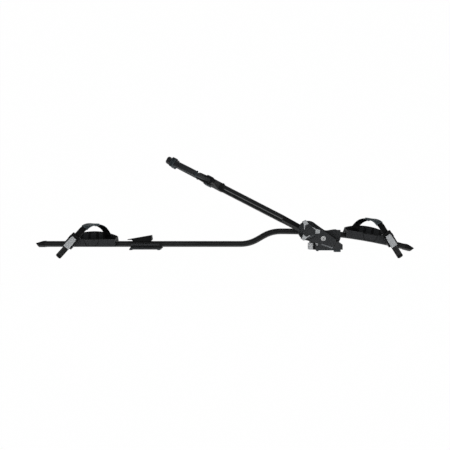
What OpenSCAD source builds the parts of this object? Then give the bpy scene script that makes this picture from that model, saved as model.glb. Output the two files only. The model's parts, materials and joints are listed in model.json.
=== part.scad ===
// Roof mounted bike carrier of the upright kind: a bent rail on two feet, a folding arm whose claw
// holds the bicycle's down tube, and two wheel holders with straps. Millimetres.
// +X runs forward along the rail, +Z is up, and -Y is the near side with the knob.
// The origin is on the front foot's seat, where it stands on the roof bar.

/* [Rail] */
// Width of the rail
rail_w = 38; // [34:1:42]
// Height of the rail
rail_h = 22; // [19:0.5:24]
// Corner radius of the rail
rail_corner_r = 6; // [4:0.5:8]
// Wall of the rail
rail_wall = 2.2; // [1.6:0.1:3]
// Height of the side grooves
groove_h = 4; // [3:0.5:6]
// Depth of the side grooves
groove_d = 1.5; // [1:0.1:2]
// Height of the rear part's axis above the roof bars
rail_low_z = 22.8; // [20:0.1:28]
// Length of the straight rear part
rail_rear_len = 748; // [720:1:800]
// Start of the S-bend
bend_x = -335.5; // [-360:0.5:-320]
// Radius of each half of the S-bend
bend_r = 128; // [100:1:160]
// Angle of the S-bend
bend_deg = 30; // [27:0.5:33]
// Rise of the rail through the S-bend
rail_rise = 48.55; // [46:0.05:52]
// Start of the downward bow
bow_x = -165; // [-170:1:-150]
// Radius of the downward bow
bow_r = 1800; // [1600:10:2200]
// Angle of the bow
bow_deg = 14.75; // [14:0.05:16]

/* [End caps] */
// Reach of a cap's nose past the rail
cap_len = 32; // [28:1:40]
// Where the top of the nose starts to slope
cap_bevel = 5; // [2:1:10]
// Reach of the nose at its toe
cap_toe = 20; // [16:1:24]
// Height of the nose's tip above the rail's axis
cap_tip_z = 3.5; // [0:0.5:6]
// How far a cap stands proud of the rail
cap_lip = 1.2; // [0.5:0.1:2]
// Depth of a cap's plug
plug_len = 22; // [15:1:30]

/* [Front foot] */
// Thickness of the bar pad
pad_t = 3; // [2:0.5:4]
// Rear edge of the bar pad
pad_x0 = -50; // [-54:1:-40]
// Rear face of the pad's lip
lip_x0 = 17; // [14:1:20]
// Front face of the pad's lip
lip_x1 = 39; // [36:1:43]
// Depth of the lip below the seat
lip_depth = 6; // [3:0.5:8]
// Width of the lip, from the near edge of the pad
lip_w = 30; // [20:1:60]
// Rear end of the casing
casing_x0 = -65; // [-68:1:-62]
// Front end of the casing
casing_x1 = 45.5; // [44:0.5:52]
// Far side of the casing
casing_far_y = 50; // [48:1:60]
// Top of the casing
casing_top = 36.5; // [34:0.5:39]
// Top of the casing's front face
casing_toe_z = 22; // [16:1:26]
// Length of the casing's front slope
casing_slope = 21; // [16:1:26]
// Wall of the casing
casing_wall = 4; // [3:0.5:5]
// Floor of the casing
casing_floor = 5; // [4:0.5:7]
// Distance of each roof bar bolt from the middle plane
bar_bolt_y = 41; // [39:0.5:43]
// Radius of the holes for the roof bar bolts
bar_bolt_r = 4.25; // [3.2:0.05:5]
// Length of the clamp plate
clamp_len = 14; // [11:1:16]
// Width of the clamp plate
clamp_w = 44; // [40:1:60]
// Top of the clamp plate
clamp_top = 28; // [24:0.5:30]

/* [Rail block] */
// Rear end of the rail block
block_x0 = -12.5; // [-16:0.5:-10]
// Front end of the rail block
block_x1 = 43.5; // [40:0.5:46]
// Highest point of the block's cap
block_top = 79.2; // [78:0.2:84]
// Radius of the block's screws
block_screw_r = 2; // [1.5:0.1:2.5]

/* [Arm hinge] */
// Hinge axis, along the rail
hinge_x = -84.5; // [-90:0.5:-82]
// Hinge axis, height
hinge_z = 74.4; // [72:0.1:80]
// Middle plane of the hub
hub_y = -46.5; // [-52:0.5:-46]
// Width of the hub
hub_w = 25; // [23:0.5:26]
// Radius of the hub
hub_r = 36; // [32:0.5:37]
// Thickness of the hub's cheeks
cheek_t = 6; // [5:0.5:7]
// Thickness of the hinge plate
plate_t = 6; // [5:0.5:7]
// Radius of the hinge plate around its axle
plate_r = 20; // [17:0.5:21]
// Radius of the near axle
near_axle_r = 13; // [12:0.5:14]
// Radius of the far axle
far_axle_r = 10; // [8:0.5:11]
// Wall of the hinge bushes
bush_t = 2; // [1.5:0.1:2.5]

/* [Cover] */
// Thickness of the cover
cover_t = 5; // [4:0.5:6]
// Radius of the cover's round end
cover_r = 37; // [36.5:0.5:39]
// Depth of the cup round the knob, below the cover's face
cup_depth = 3; // [2:0.5:3]
// Height of the raised ring round the knob
ring_h = 2; // [1:0.5:4]
// Width of the raised ring
ring_w = 4; // [2:0.5:6]
// Lock axis, along the rail
lock_x = -27.6; // [-32:0.2:-24]
// Lock axis, height
lock_z = 45.1; // [43:0.1:48]
// Radius of the lock plug
plug_r = 6.95; // [5.5:0.05:8]
// Wall of the lock's bezel
bezel_t = 2.2; // [1.5:0.1:3]
// Reach of the lock's tongue
tongue_len = 17; // [12:1:20]

/* [Knob] */
// Radius to the tips of the knob's lobes
knob_r = 40.5; // [36:0.5:42]
// Distance of the knob's flats from its axis
knob_flat = 20; // [19:0.5:22]
// Depth of the knob
knob_depth = 23; // [20:0.5:28]
// Radius of the knob's round cap
knob_cap_r = 15; // [12:0.5:17]
// Thickness of the silver marks
mark_t = 0.8; // [0.5:0.1:1.5]
// Radius of the spindle
spindle_r = 8.5; // [7:0.1:9]
// Radius of the cable drum
drum_r = 5.2; // [4.5:0.1:5.6]
// Radius of the pull cable
cable_r = 1.5; // [1:0.1:1.8]

/* [Arm] */
// Angle of the arm above the rail
arm_deg = 27.5; // [10:0.5:60]
// Lean of the arm towards the middle plane
arm_lean = 4.9; // [3.5:0.1:5.2]
// Drop of the arm's axis below the hinge
arm_drop = 4.3; // [3:0.1:5]
// Width of the arm tube
tube_w = 22; // [20:0.5:23]
// Height of the arm tube
tube_h = 29.5; // [26:0.5:31]
// Wall of the arm tube
tube_wall = 3; // [2:0.1:3.5]
// End of the hub's stem along the arm, where the tube starts
stem_end = 103; // [95:1:115]
// Start of the claw head along the arm
head_s = 352; // [330:1:365]

/* [Claw] */
// Place of the jaw pins along the arm
pivot_s = 417; // [413:1:425]
// Distance of the jaw pins from the arm's axis
pivot_y = 22; // [21:0.5:24]
// Radius of the jaw pins
jaw_pin_r = 4; // [3:0.1:4.5]
// Radius of a jaw's boss
boss_r = 9; // [8:0.5:9.5]
// Height of a jaw's root
root_h = 16.4; // [14:0.2:18]
// Radius of a jaw finger's sweep
finger_r = 156; // [150:1:165]
// Widest place of the fingers along the arm
finger_s = 497; // [493:1:501]
// Widest place of a finger's middle from the arm's axis
finger_y = 42; // [41:0.5:46]
// Thickness of a finger
finger_t = 14; // [11:0.5:15]
// Height of a finger
finger_h = 23; // [20:0.5:25]
// Radius of a jaw's tip
tip_r = 10; // [8:0.5:10]
// Height of a jaw's tip
tip_h = 29; // [25:0.5:32]
// Thickness of the rubber inside a finger
rubber_t = 6; // [4:0.5:7]
// Height of the rubber boot at the tip
boot_h = 36; // [30:0.5:40]
// Radius of the pivot caps
pivot_cap_r = 15; // [12:0.5:15.5]
// Height of the pivot caps
pivot_cap_h = 5; // [4:0.5:7]

/* [Rear foot] */
// Middle of the rear foot
foot_x = -697; // [-700:1:-692]
// Length of the saddle's sole
saddle_len = 122; // [116:1:126]
// Half width of the saddle
saddle_half_w = 38; // [35:1:42]
// Wall of the saddle beside the rail
saddle_wall = 5; // [4:0.5:6]
// Top of the saddle's flanges
flange_top = 10; // [8:0.5:11]
// Distance of each roof bar bolt from the middle plane, rear foot
rear_bolt_y = 31; // [30:0.5:32]
// Width of the rubber bar strips
strip_w = 10; // [7:0.5:12]
// Lever pin behind or before the middle of the foot
lever_pin_dx = 15; // [12:0.5:18]
// Length of the lever from its pin
lever_len = 85; // [75:1:90]
// Height of the lever's heel above the rail
lever_h = 23.5; // [21:0.5:26]
// Half width of the lever
lever_half_w = 16; // [13:0.5:17]
// Radius of the lever pin
lever_pin_r = 4; // [3:0.1:4.5]
// Radius of the draw bolt
draw_r = 4; // [3:0.1:4.5]
// Travel of the foot along the rail
foot_travel = 200; // [150:5:220]

/* [Wheel holders] */
// Middle of the rear wheel holder
rear_tray_x = -900; // [-910:1:-895]
// Place of the front wheel holder on the bow
front_tray_deg = 10.15; // [10:0.05:10.6]
// Length of a tray
tray_len = 190; // [180:1:200]
// Width of a tray
tray_w = 84; // [80:1:90]
// Wall of a tray
tray_wall = 4; // [3:0.5:5]
// Top of the near wall above the rail's axis
near_top = 18.7; // [17.5:0.1:22]
// Top of the far wall above the rail's axis
far_top = 48.5; // [44:0.5:52]
// Radius of the far wall's top
far_r = 225; // [210:5:280]
// Bottom of a tray below the rail's axis
tray_bottom = 9.7; // [8:0.1:10.5]
// Floor of a tray
tray_floor = 4; // [3:0.5:5]
// Width of a slide latch at its top
latch_w = 57; // [50:1:62]
// Height of a slide latch
latch_h = 21; // [16:0.5:23]
// Depth of a slide latch
latch_t = 4.6; // [4:0.2:5.6]

/* [Straps] */
// Width of a strap
strap_w = 22.5; // [18:0.5:23]
// Thickness of a strap
strap_t = 3; // [2:0.1:3.4]
// Width of a strap at its root
strap_root_w = 30; // [24:1:32]
// Height of a strap's top above the rail's axis
strap_top = 75; // [70:0.5:84]
// Angle of a strap's straight leg
leg_deg = 48; // [46:0.2:52]
// Length of a strap's tail below the buckle's middle
tail_len = 74; // [60:1:78]
// Wall of the rubber rim pad
rim_pad_t = 2; // [1.5:0.1:2.5]
// Width of the rubber rim pad
rim_pad_w = 27; // [26:0.5:29]
// Half width of a buckle
buckle_half_w = 18; // [17:0.1:20]
// Half length of a release pad
release_half_l = 24; // [20:0.5:25]
// Half width of a release pad's middle
release_half_w = 11.7; // [10.5:0.1:13]
// Thickness of a release pad
release_t = 5; // [4:0.2:6]
// Radius of the pins in a wheel holder
small_pin_r = 2; // [1.5:0.1:2.2]

/* [Fits] */
// Gap between fixed pieces that seat in each other
seat_gap = 0.1; // [0.05:0.01:0.15]
// Radial clearance of a turning fit
run_gap = 0.05; // [0.02:0.01:0.08]
// Gap between pieces that slide past each other
slide_gap = 0.4; // [0.3:0.05:0.5]

/* [Hidden] */
$fn = 64;
bow_fn = 1440;
over = 1;
far_out = 400;

rail_rear_x = bend_x - rail_rear_len;
bore_w = rail_w - 2 * (rail_wall + groove_d);
bore_h = rail_h - 2 * rail_wall;
bore_r = rail_corner_r - rail_wall;
function neat(v) = round(1000 * v) / 1000;
bend_mid = (rail_rise - 2 * bend_r * (1 - cos(bend_deg))) / sin(bend_deg);
bend_run = 2 * bend_r * sin(bend_deg) + bend_mid * cos(bend_deg);
bend_end_x = neat(bend_x + bend_run);
bow_gap = neat(bow_x - bend_end_x);
rail_high_z = neat(rail_low_z + rail_rise);
bend_lap = 3;
bend_slim = 0.1;
bow_z = rail_high_z - bow_r;
rail_top = rail_low_z + rail_h / 2;

// Layers of the base across the rail, from the near side to the far side
hub_near_y = hub_y - hub_w / 2;
hub_far_y = hub_y + hub_w / 2;
cover_gap = 2;
cover_in_y = hub_near_y - cover_gap;
cover_out_y = cover_in_y - cover_t;
plate_gap = 0.5;
plate_near_y = hub_far_y + plate_gap;
plate_far_y = plate_near_y + plate_t;
ring_y = cover_out_y - ring_h;
knob_gap = 0.8;
knob_back_y = ring_y - knob_gap;
knob_front_y = knob_back_y - knob_depth;
casing_near_y = cover_in_y;

block_half_w = -plate_far_y;
block_screw_y = (rail_w / 2 + block_half_w) / 2;
block_screw_inset = 9;
block_mid_x = (block_x0 + block_x1) / 2;
block_split = neat(bow_z + sqrt(pow(bow_r, 2) - pow(block_mid_x - bow_x, 2)));
block_screw_low = block_split - 14;

hinge = [hinge_x, hinge_z];
lock = [lock_x, lock_z];
function around(c, r, a) = c + r * [cos(a), sin(a)];

// Along the arm, counted from the hinge
stem_start = hub_r - 12;
plug_depth = 40;
tube_s0 = stem_end;
tube_bore_w = tube_w - 3 - 2 * tube_wall;
tube_bore_h = tube_h - 2 * tube_wall;
tube_insert = 17;
tube_s1 = head_s + tube_insert;
head_solid_end = tube_s1 + 1;
head_end = pivot_s + 46;
hub_cavity_r = 24;
drum_half = hub_w / 2 - cheek_t - 0.2;
cable_z = arm_drop - drum_r - cable_r - 0.3;
cable_s0 = 2 - hub_r;
wedge_s0 = head_solid_end + 2;
wedge_s1 = pivot_s - 22;
wedge_h = root_h - 1.4;
tail_s = pivot_s - 24;
tail_y = pivot_y - 6.8;
tail_r = 4;
wedge_slope = 0.386;
wedge_wide = tail_y - tail_r * sqrt(1 + wedge_slope * wedge_slope) - 0.5;
function wedge_half(s) = wedge_wide + wedge_slope * (s - tail_s);
cheek_in = root_h / 2 + 0.3;
head_h = 16.2;
cap_seat = 13.6;
finger_c = [finger_s, finger_y - finger_r];
tip_deg = 53;
boot_deg0 = 59.2;
boot_deg1 = 66.2;
seam_deg = 1.8;
finger_deg = acos((head_end + 2 - finger_s) / finger_r);
root_deg = 118;

// Rear foot
saddle_bottom = 2.5;
saddle_in = rail_w / 2 + slide_gap;
lever_pin_x = foot_x + lever_pin_dx;
lever_pin_z = rail_top + 8.7;
lever_heel_r = 8.3;
lever_tip_z = rail_top + 7.4;
slot_half_w = draw_r + slide_gap;
slot_back = 20;

// Wheel holder, in its own frame: x towards the arm, y across, z above the rail's axis
tray_half_l = tray_len / 2;
tray_half_w = tray_w / 2;
near_y = -tray_half_w;
floor_z = rail_h / 2 + slide_gap;
floor_top = floor_z + tray_floor;
guide_in = rail_w / 2 + slide_gap;
guide_t = 4;
guide_out = guide_in + guide_t;
far_mid_x = -4;
inner_l = tray_half_l - 4;
end_x = tray_half_l - 3;
inner_end_x = inner_l - 3;
end_high = far_top - 20;
latch_x = 1.5;
latch_top = near_top - 2.7;
latch_draft = 11;
latch_gap = 0.9;
latch_rim = 2.2;
latch_rim_depth = 1.6;
latch_proud = 1.2;
latch_travel = 3;
latch_back = near_y - latch_proud + latch_t;
anchor_x = 51;
anchor_z = 4;
anchor_y = (guide_out + tray_half_w - tray_wall) / 2;
bead_r = 5;
ear_t = 4;
strap_y = near_y - 10;
buckle_x = -74.3;
buckle_z = 6.7;
buckle_x0 = -19;
buckle_x1 = 36;
buckle_near = 8;
buckle_far = 7;
release_pin_x = 17;
release_pin_y = -10.5;
function on_leg(l) = [buckle_x + l * cos(leg_deg), strap_y, buckle_z + l * sin(leg_deg)];

// The strap's route from its root to its tail, the way its outer face looks, and its width there
strap_route = [
    [anchor_x, anchor_y, -12], [anchor_x, anchor_y, anchor_z], [anchor_x, anchor_y + 0.5, 26], [43, 27, 48],
    [29, 18, strap_top - 10], [5, -4, strap_top], [-14, -31, strap_top - 4],
    on_leg(68) + [0, 2, 0], on_leg(46), on_leg(0), on_leg(-tail_len), on_leg(-tail_len - 30)
];
strap_looks = [
    [0, 1, 0], [0, 1, 0], [0, 1, 0], [0, 1, 0.3], [0, 0.6, 0.8], [0, 0, 1], [0, -0.6, 0.8],
    [0, -1, 0.1], [0, -1, 0], [0, -1, 0], [0, -1, 0], [0, -1, 0]
];
strap_widths = [
    strap_root_w, strap_root_w, 0.9 * strap_root_w, strap_w, strap_w, strap_w, strap_w,
    strap_w, strap_w, strap_w, strap_w, strap_w
];
strap_steps = 6;
pad_from = 4.6;
pad_to = 6.7;
pad_gap = 0.3;

function knot(list, i, t) =
    let (a = list[i - 1], b = list[i], c = list[i + 1], d = list[i + 2])
    0.5 * (2 * b + (c - a) * t + (2 * a - 5 * b + 4 * c - d) * t * t + (3 * b - a - 3 * c + d) * t * t * t);
function along(list, u) = let (i = max(1, min(floor(u), len(list) - 3))) knot(list, i, u - i);
function unit(v) = v / norm(v);
function tangent(u) = unit(along(strap_route, u + 0.01) - along(strap_route, u - 0.01));
function side(u) = unit(cross(tangent(u), along(strap_looks, u)));
// One four-cornered ring of the swept strap at u, as wide as w and as thick as t
function ring(u, w, t) =
    let (p = along(strap_route, u), s = side(u), n = cross(s, tangent(u)))
    [for (k = [[-1, -1], [1, -1], [1, 1], [-1, 1]]) p + k[0] * s * w / 2 + k[1] * n * t / 2];

// Shapes used again and again

module along_y(y0, y1) {
    translate([0, y1, 0]) rotate([90, 0, 0]) linear_extrude(y1 - y0) children();
}

module rod_y(r, y0, y1) {
    translate([0, y1, 0]) rotate([90, 0, 0]) cylinder(r = r, h = y1 - y0);
}

module rod_x(r, x0, x1) {
    translate([x0, 0, 0]) rotate([0, 90, 0]) cylinder(r = r, h = x1 - x0);
}

module run_x(length) {
    rotate([90, 0, 90]) linear_extrude(length) children();
}

module block(low, high) {
    translate(low) cube(high - low);
}

module round_rect(w, h, r) {
    square([w - 2 * r, h], center = true);
    square([w, h - 2 * r], center = true);
    for (x = [-1, 1], y = [-1, 1])
        translate([x * (w / 2 - r), y * (h / 2 - r)]) circle(r);
}

// The rail's sections and its path

module rail_outline(grow = 0) {
    round_rect(rail_w + 2 * grow, rail_h + 2 * grow, rail_corner_r + grow, $fn = 32);
}

module rail_section(slim = 0) {
    difference() {
        rail_outline(-slim);
        for (x = [-1, 1])
            translate([x * rail_w / 2, 0])
                square([2 * (groove_d + slim), groove_h + 2 * slim], center = true);
        round_rect(bore_w + 2 * slim, bore_h + 2 * slim, bore_r + slim, $fn = 32);
    }
}

// A bend that starts along +X and turns up by a
module bend(r, a) {
    translate([0, 0, r]) rotate([90, 0, 0]) rotate([0, 0, -90])
        rotate_extrude(angle = a, $fn = max($fn, bow_fn * r / bow_r)) translate([r, 0]) rotate(90) children();
}

module bow() {
    translate([bow_x, 0, rail_high_z]) mirror([0, 0, 1]) bend(bow_r, bow_deg) children();
}

module bow_frame(a) {
    translate([bow_x, 0, bow_z]) rotate([0, a, 0]) translate([0, 0, bow_r]) children();
}

module rail() {
    color("#24262a") difference() {
        union() {
            translate([rail_rear_x, 0, rail_low_z]) run_x(rail_rear_len) rail_section();
            translate([bend_x, 0, rail_low_z]) bend(bend_r, bend_deg) rail_section();
            // The short straight inside the S-bend laps into both bends
            translate([bend_x + bend_r * sin(bend_deg), 0, rail_low_z + bend_r * (1 - cos(bend_deg))])
                rotate([0, -bend_deg, 0]) translate([-bend_lap, 0, 0])
                    run_x(bend_mid + 2 * bend_lap) rail_section(bend_slim);
            translate([bend_end_x, 0, rail_high_z]) {
                mirror([1, 0, 0]) mirror([0, 0, 1]) bend(bend_r, bend_deg) rail_section();
                run_x(bow_gap) rail_section();
            }
            bow() rail_section();
        }
        // Slot for the rear foot's draw bolt
        block(
            [lever_pin_x - slot_back, -slot_half_w, rail_low_z - rail_h],
            [lever_pin_x + foot_travel + slot_back, slot_half_w, rail_low_z + rail_h]
        );
    }
}

module end_cap() {
    top = rail_h / 2 + cap_lip;
    intersection() {
        along_y(-rail_w, rail_w) polygon([
            [0, top], [cap_bevel, top], [cap_len, cap_tip_z], [cap_toe, -top], [0, -top]
        ]);
        run_x(cap_len) rail_outline(cap_lip);
    }
    translate([-plug_len, 0, 0]) run_x(plug_len)
        round_rect(bore_w - 2 * seat_gap, bore_h - 2 * seat_gap, bore_r - seat_gap);
}

module rear_end_cap() {
    color("#1b1c1e") translate([rail_rear_x, 0, rail_low_z]) mirror([1, 0, 0]) end_cap();
}

module front_end_cap() {
    color("#1b1c1e") bow_frame(bow_deg) end_cap();
}

// Front foot

module bar_bolts(r, z0, z1) {
    for (y = [-1, 1])
        translate([0, y * bar_bolt_y, z0]) cylinder(r = r, h = z1 - z0);
}

module base_bar_pad() {
    near = casing_near_y + 6;
    color("#17191b") difference() {
        union() {
            block([pad_x0, near, 0], [lip_x1, casing_far_y - 4, pad_t]);
            block([lip_x0, near, -lip_depth], [lip_x1, near + lip_w, over]);
        }
        bar_bolts(bar_bolt_r + 2, -over, pad_t + over);
    }
}

clamp_screw_r = 3;
clamp_screw_z = 15;
clamp_head_r = 5;
clamp_head_h = 4;
clamp_x0 = casing_x0 - clamp_len;
clamp_seat_x = clamp_x0 + clamp_head_h + 0.5;
// Guide tongue of the clamp plate, which shows through a notch in the casing's near wall
tongue_near_y = casing_near_y + casing_wall + 0.3;
clamp_corner_r = 9;
clamp_flat_y = tongue_near_y + clamp_corner_r;
clamp_far_y = tongue_near_y + clamp_w;
clamp_screw_places = [for (share = [0.2, 0.8]) neat(clamp_flat_y + share * (clamp_far_y - clamp_flat_y))];
guide_len = 25;
guide_w = 3;
guide_z0 = 12;

module guide_tongue(grow) {
    block(
        [casing_x0 - over, tongue_near_y - grow, guide_z0 - grow],
        [casing_x0 + guide_len + grow, tongue_near_y + guide_w + grow, clamp_top + grow]
    );
}

// Start and middle of the casing's front slope
slope_top = [casing_x1 - casing_slope, casing_top];
slope_mid = [casing_x1 - 0.55 * casing_slope, 0.4 * casing_toe_z + 0.6 * casing_top];

module base_casing() {
    inner_x0 = casing_x0 + 2 * casing_wall;
    inner_x1 = casing_x1 - casing_slope - casing_wall;
    inner_z = pad_t + casing_floor;
    notch_x = casing_x0 + 8;
    color("#202225") difference() {
        along_y(casing_near_y, casing_far_y) polygon([
            [casing_x0, pad_t], [casing_x1, pad_t], [casing_x1, casing_toe_z],
            slope_mid, slope_top, [casing_x0, casing_top]
        ]);
        // Near chamber, open above for the lock's tongue, and far chamber
        block(
            [inner_x0, casing_near_y + casing_wall, inner_z],
            [inner_x1, plate_near_y - over, casing_top + over]
        );
        block(
            [inner_x0, plate_far_y + over, inner_z],
            [inner_x1, casing_far_y - casing_wall, casing_top - casing_wall]
        );
        along_y(casing_near_y - over, casing_near_y + casing_wall + over) polygon([
            [notch_x, clamp_top], [notch_x + 14, clamp_top], [notch_x + 7, clamp_top - 14]
        ]);
        guide_tongue(seat_gap);
        bar_bolts(bar_bolt_r, -over, inner_z + over);
        clamp_bores(clamp_screw_r + seat_gap);
    }
}

module clamp_bores(r) {
    for (y = clamp_screw_places)
        translate([0, y, clamp_screw_z])
            rod_x(r, clamp_x0 - over, casing_x0 + 2 * casing_wall + over);
}

// Plan of the clamp plate, with its rear near corner rounded
module clamp_plan() {
    corner_x = clamp_x0 + clamp_corner_r;
    translate([corner_x, tongue_near_y]) square([clamp_len - clamp_corner_r, clamp_w]);
    translate([clamp_x0, clamp_flat_y]) square([clamp_corner_r + over, clamp_w - clamp_corner_r]);
    translate([corner_x, clamp_flat_y]) intersection() {
        circle(clamp_corner_r);
        translate([-clamp_corner_r, -clamp_corner_r]) square(clamp_corner_r + over);
    }
}

module clamp_plate() {
    color("#b9bcbe") {
        difference() {
            translate([0, 0, pad_t]) linear_extrude(clamp_top - pad_t) clamp_plan();
            clamp_bores(clamp_screw_r + seat_gap);
            for (y = clamp_screw_places)
                translate([0, y, clamp_screw_z])
                    rod_x(clamp_head_r + seat_gap, clamp_x0 - over, clamp_seat_x);
        }
        guide_tongue(0);
    }
}

module clamp_screws() {
    color("#8f9396") for (y = clamp_screw_places)
        translate([0, y, clamp_screw_z]) {
            rod_x(clamp_screw_r, clamp_seat_x, casing_x0 + 2 * casing_wall);
            difference() {
                rod_x(clamp_head_r, clamp_seat_x - clamp_head_h, clamp_seat_x);
                translate([clamp_seat_x - clamp_head_h - over, 0, 0]) rotate([0, 90, 0])
                    cylinder(r = clamp_head_r / 2, h = clamp_head_h / 2 + over, $fn = 6);
            }
        }
}

module block_screws(r, z0, z1) {
    for (x = [block_x0 + block_screw_inset, block_x1 - block_screw_inset], y = [-1, 1])
        translate([x, y * block_screw_y, z0]) cylinder(r = r, h = z1 - z0);
}

block_step = 3;
block_head_z = block_top - 2.5 * block_step;

module rail_cradle() {
    // The toe reaches down onto the casing's front slope
    toe = [(slope_mid[0] + block_x1) / 2, slope_mid[1] + 1];
    color("#1d1f22") difference() {
        along_y(-block_half_w, block_half_w) polygon([
            [block_x0, casing_top], slope_top, slope_mid, toe, [block_x1, casing_top + 8],
            [block_x1, block_split], [block_x0, block_split]
        ]);
        bow() rail_outline(seat_gap);
        block_screws(block_screw_r + seat_gap, block_screw_low - over, block_split + over);
    }
}

module rail_cap() {
    step_x = block_x1 - 0.28 * (block_x1 - block_x0);
    color("#1d1f22") difference() {
        along_y(-block_half_w, block_half_w) polygon([
            [block_x0, block_split], [block_x0, block_top - 2 * block_step], [step_x, block_top],
            [step_x + 1, block_top - block_step], [block_x1, block_top - 0.7 * block_step],
            [block_x1, block_split]
        ]);
        bow() rail_outline(seat_gap);
        block_screws(block_screw_r + seat_gap, block_split - over, block_top + over);
        block_screws(2 * block_screw_r, block_head_z, block_top + over);
    }
}

module rail_cap_screws() {
    color("#55585b") {
        block_screws(block_screw_r, block_screw_low, block_head_z);
        block_screws(1.8 * block_screw_r, block_head_z, block_head_z + block_screw_r);
    }
}

module hinge_plate() {
    color("#6e7276") difference() {
        union() {
            translate([hinge_x, 0, hinge_z]) rod_y(plate_r, plate_near_y, plate_far_y);
            along_y(plate_near_y, plate_far_y) polygon([
                around(hinge, plate_r - 1, 50), [block_x1 - 28, casing_top + 6],
                [block_x1 - 28, casing_top], [casing_x0 + 23, casing_top], around(hinge, plate_r - 1, 200)
            ]);
        }
        translate([hinge_x, 0, hinge_z])
            rod_y(far_axle_r + seat_gap, plate_near_y - over, plate_far_y + over);
    }
}

// Side view of the cover: a round end about the hinge drawn out to the nose of the foot
cover_nose = slope_top;
cover_edge_deg = 54.7;
cover_top = around(hinge, cover_r, cover_edge_deg);
cover_edge_len = (cover_nose[0] - cover_top[0]) / sin(cover_edge_deg);
function cover_edge(l) = cover_top + l * [sin(cover_edge_deg), -cos(cover_edge_deg)];
cover_tip = cover_edge(cover_edge_len);
roof_start = cover_edge(cover_edge_len - 62);
roof_in = -4 * [cos(cover_edge_deg), sin(cover_edge_deg)];
cover_toe = cover_nose + [-18, -29.2];
cover_waist = lock + [-8.6, -23.4];
// The cover's straight edges, from the waist round the nose and up to the round end
cover_rim = [
    cover_waist, cover_toe, cover_toe + [4, 2.7], cover_nose + [-0.2, -4.8], cover_tip, cover_top
];
bevel = 4;

module cover_outline() {
    translate(hinge) circle(cover_r);
    polygon(concat(cover_rim, [around(hinge, cover_r - 0.2, 262)]));
}

// Bevel of the cover's face along the edge between two points, with the cover on the left of it
module edge_bevel(from, to) {
    run = to - from;
    translate([from[0], cover_out_y, from[1]])
        rotate([0, -atan2(run[1], run[0]), 0]) rotate([45, 0, 0])
            block([0, -bevel / sqrt(2), -bevel], [norm(run), bevel / sqrt(2), bevel]);
}

module base_cover() {
    color("#26282b") difference() {
        union() {
            difference() {
                along_y(cover_out_y, cover_in_y) cover_outline();
                for (i = [1:len(cover_rim) - 1])
                    edge_bevel(cover_rim[i - 1], cover_rim[i]);
                translate([hinge_x, 0, hinge_z])
                    rod_y(cover_r - ring_w, cover_out_y - over, cover_out_y + cup_depth);
            }
            translate([hinge_x, 0, hinge_z]) difference() {
                rod_y(cover_r, ring_y, cover_out_y);
                rod_y(cover_r - ring_w, ring_y - over, cover_out_y);
            }
            // Roof of the cover, from its nose up past the lock
            along_y(cover_in_y, plate_near_y - slide_gap) polygon([
                cover_nose, cover_tip, roof_start, roof_start + roof_in,
                cover_tip + roof_in - [2, 0], cover_nose - [5, 0]
            ]);
        }
        translate([hinge_x, 0, hinge_z])
            rod_y(near_axle_r + seat_gap, ring_y - over, cover_in_y + over);
        translate([lock_x, 0, lock_z])
            rod_y(plug_r + run_gap + bezel_t + seat_gap, cover_out_y - over, cover_in_y + over);
    }
}

module near_axle() {
    color("#7d8184") translate([hinge_x, 0, hinge_z]) difference() {
        rod_y(near_axle_r, cover_out_y, hub_near_y + cheek_t - slide_gap);
        rod_y(spindle_r + run_gap, cover_out_y - over, hub_near_y + cheek_t);
    }
}

stub_r = 4;

module far_axle() {
    color("#7d8184") translate([hinge_x, 0, hinge_z]) difference() {
        rod_y(far_axle_r, hub_far_y - cheek_t + slide_gap, plate_far_y);
        rod_y(stub_r + run_gap, hub_far_y - cheek_t, plate_near_y + 2);
    }
}

bezel_proud = 1.5;
plug_end_y = cover_in_y + 10;
tongue_t = 3;

module lock_bezel() {
    color("#a9acae") translate([lock_x, 0, lock_z]) difference() {
        rod_y(plug_r + run_gap + bezel_t, cover_out_y - bezel_proud, cover_in_y);
        rod_y(plug_r + run_gap, cover_out_y - 2 * bezel_proud, cover_in_y + over);
    }
}

module lock_plug() {
    key_w = 1.8;
    key_h = 1.1 * plug_r;
    key_depth = 8;
    front = cover_out_y - 0.6 * bezel_proud;
    color("#9b9ea0") translate([lock_x, 0, lock_z]) difference() {
        rod_y(plug_r, front, plug_end_y);
        block([-key_w / 2, front - over, -key_h / 2], [key_w / 2, front + key_depth, key_h / 2]);
    }
}

module lock_tongue() {
    half_w = 0.6 * plug_r;
    color("#777a7d") translate([lock_x, 0, lock_z]) {
        rod_y(half_w, plug_end_y, plug_end_y + tongue_t);
        block([-half_w, plug_end_y, -tongue_len], [half_w, plug_end_y + tongue_t, 0]);
    }
}

// Arm: x along it, y towards the near side, z square to it

module hub_frame() {
    translate([hinge_x, hub_y, hinge_z]) rotate([0, arm_deg, 0]) rotate([0, 0, 180]) children();
}

module arm_frame() {
    hub_frame() rotate([0, 0, -arm_lean]) translate([0, 0, -arm_drop]) children();
}

module tube_outline(grow = 0) {
    lower_h = 0.36 * tube_h;
    upper_h = tube_h - lower_h + 1;
    translate([0, (tube_h - upper_h) / 2]) round_rect(tube_w + 2 * grow, upper_h + 2 * grow, 7 + grow);
    translate([0, (lower_h - tube_h) / 2]) round_rect(tube_w - 3 + 2 * grow, lower_h + 2 * grow, 3 + grow);
}

module arm_tube() {
    color("#2a2c30") arm_frame() translate([tube_s0, 0, 0]) run_x(tube_s1 - tube_s0) difference() {
        tube_outline();
        round_rect(tube_bore_w, tube_bore_h, 3);
    }
}

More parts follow.
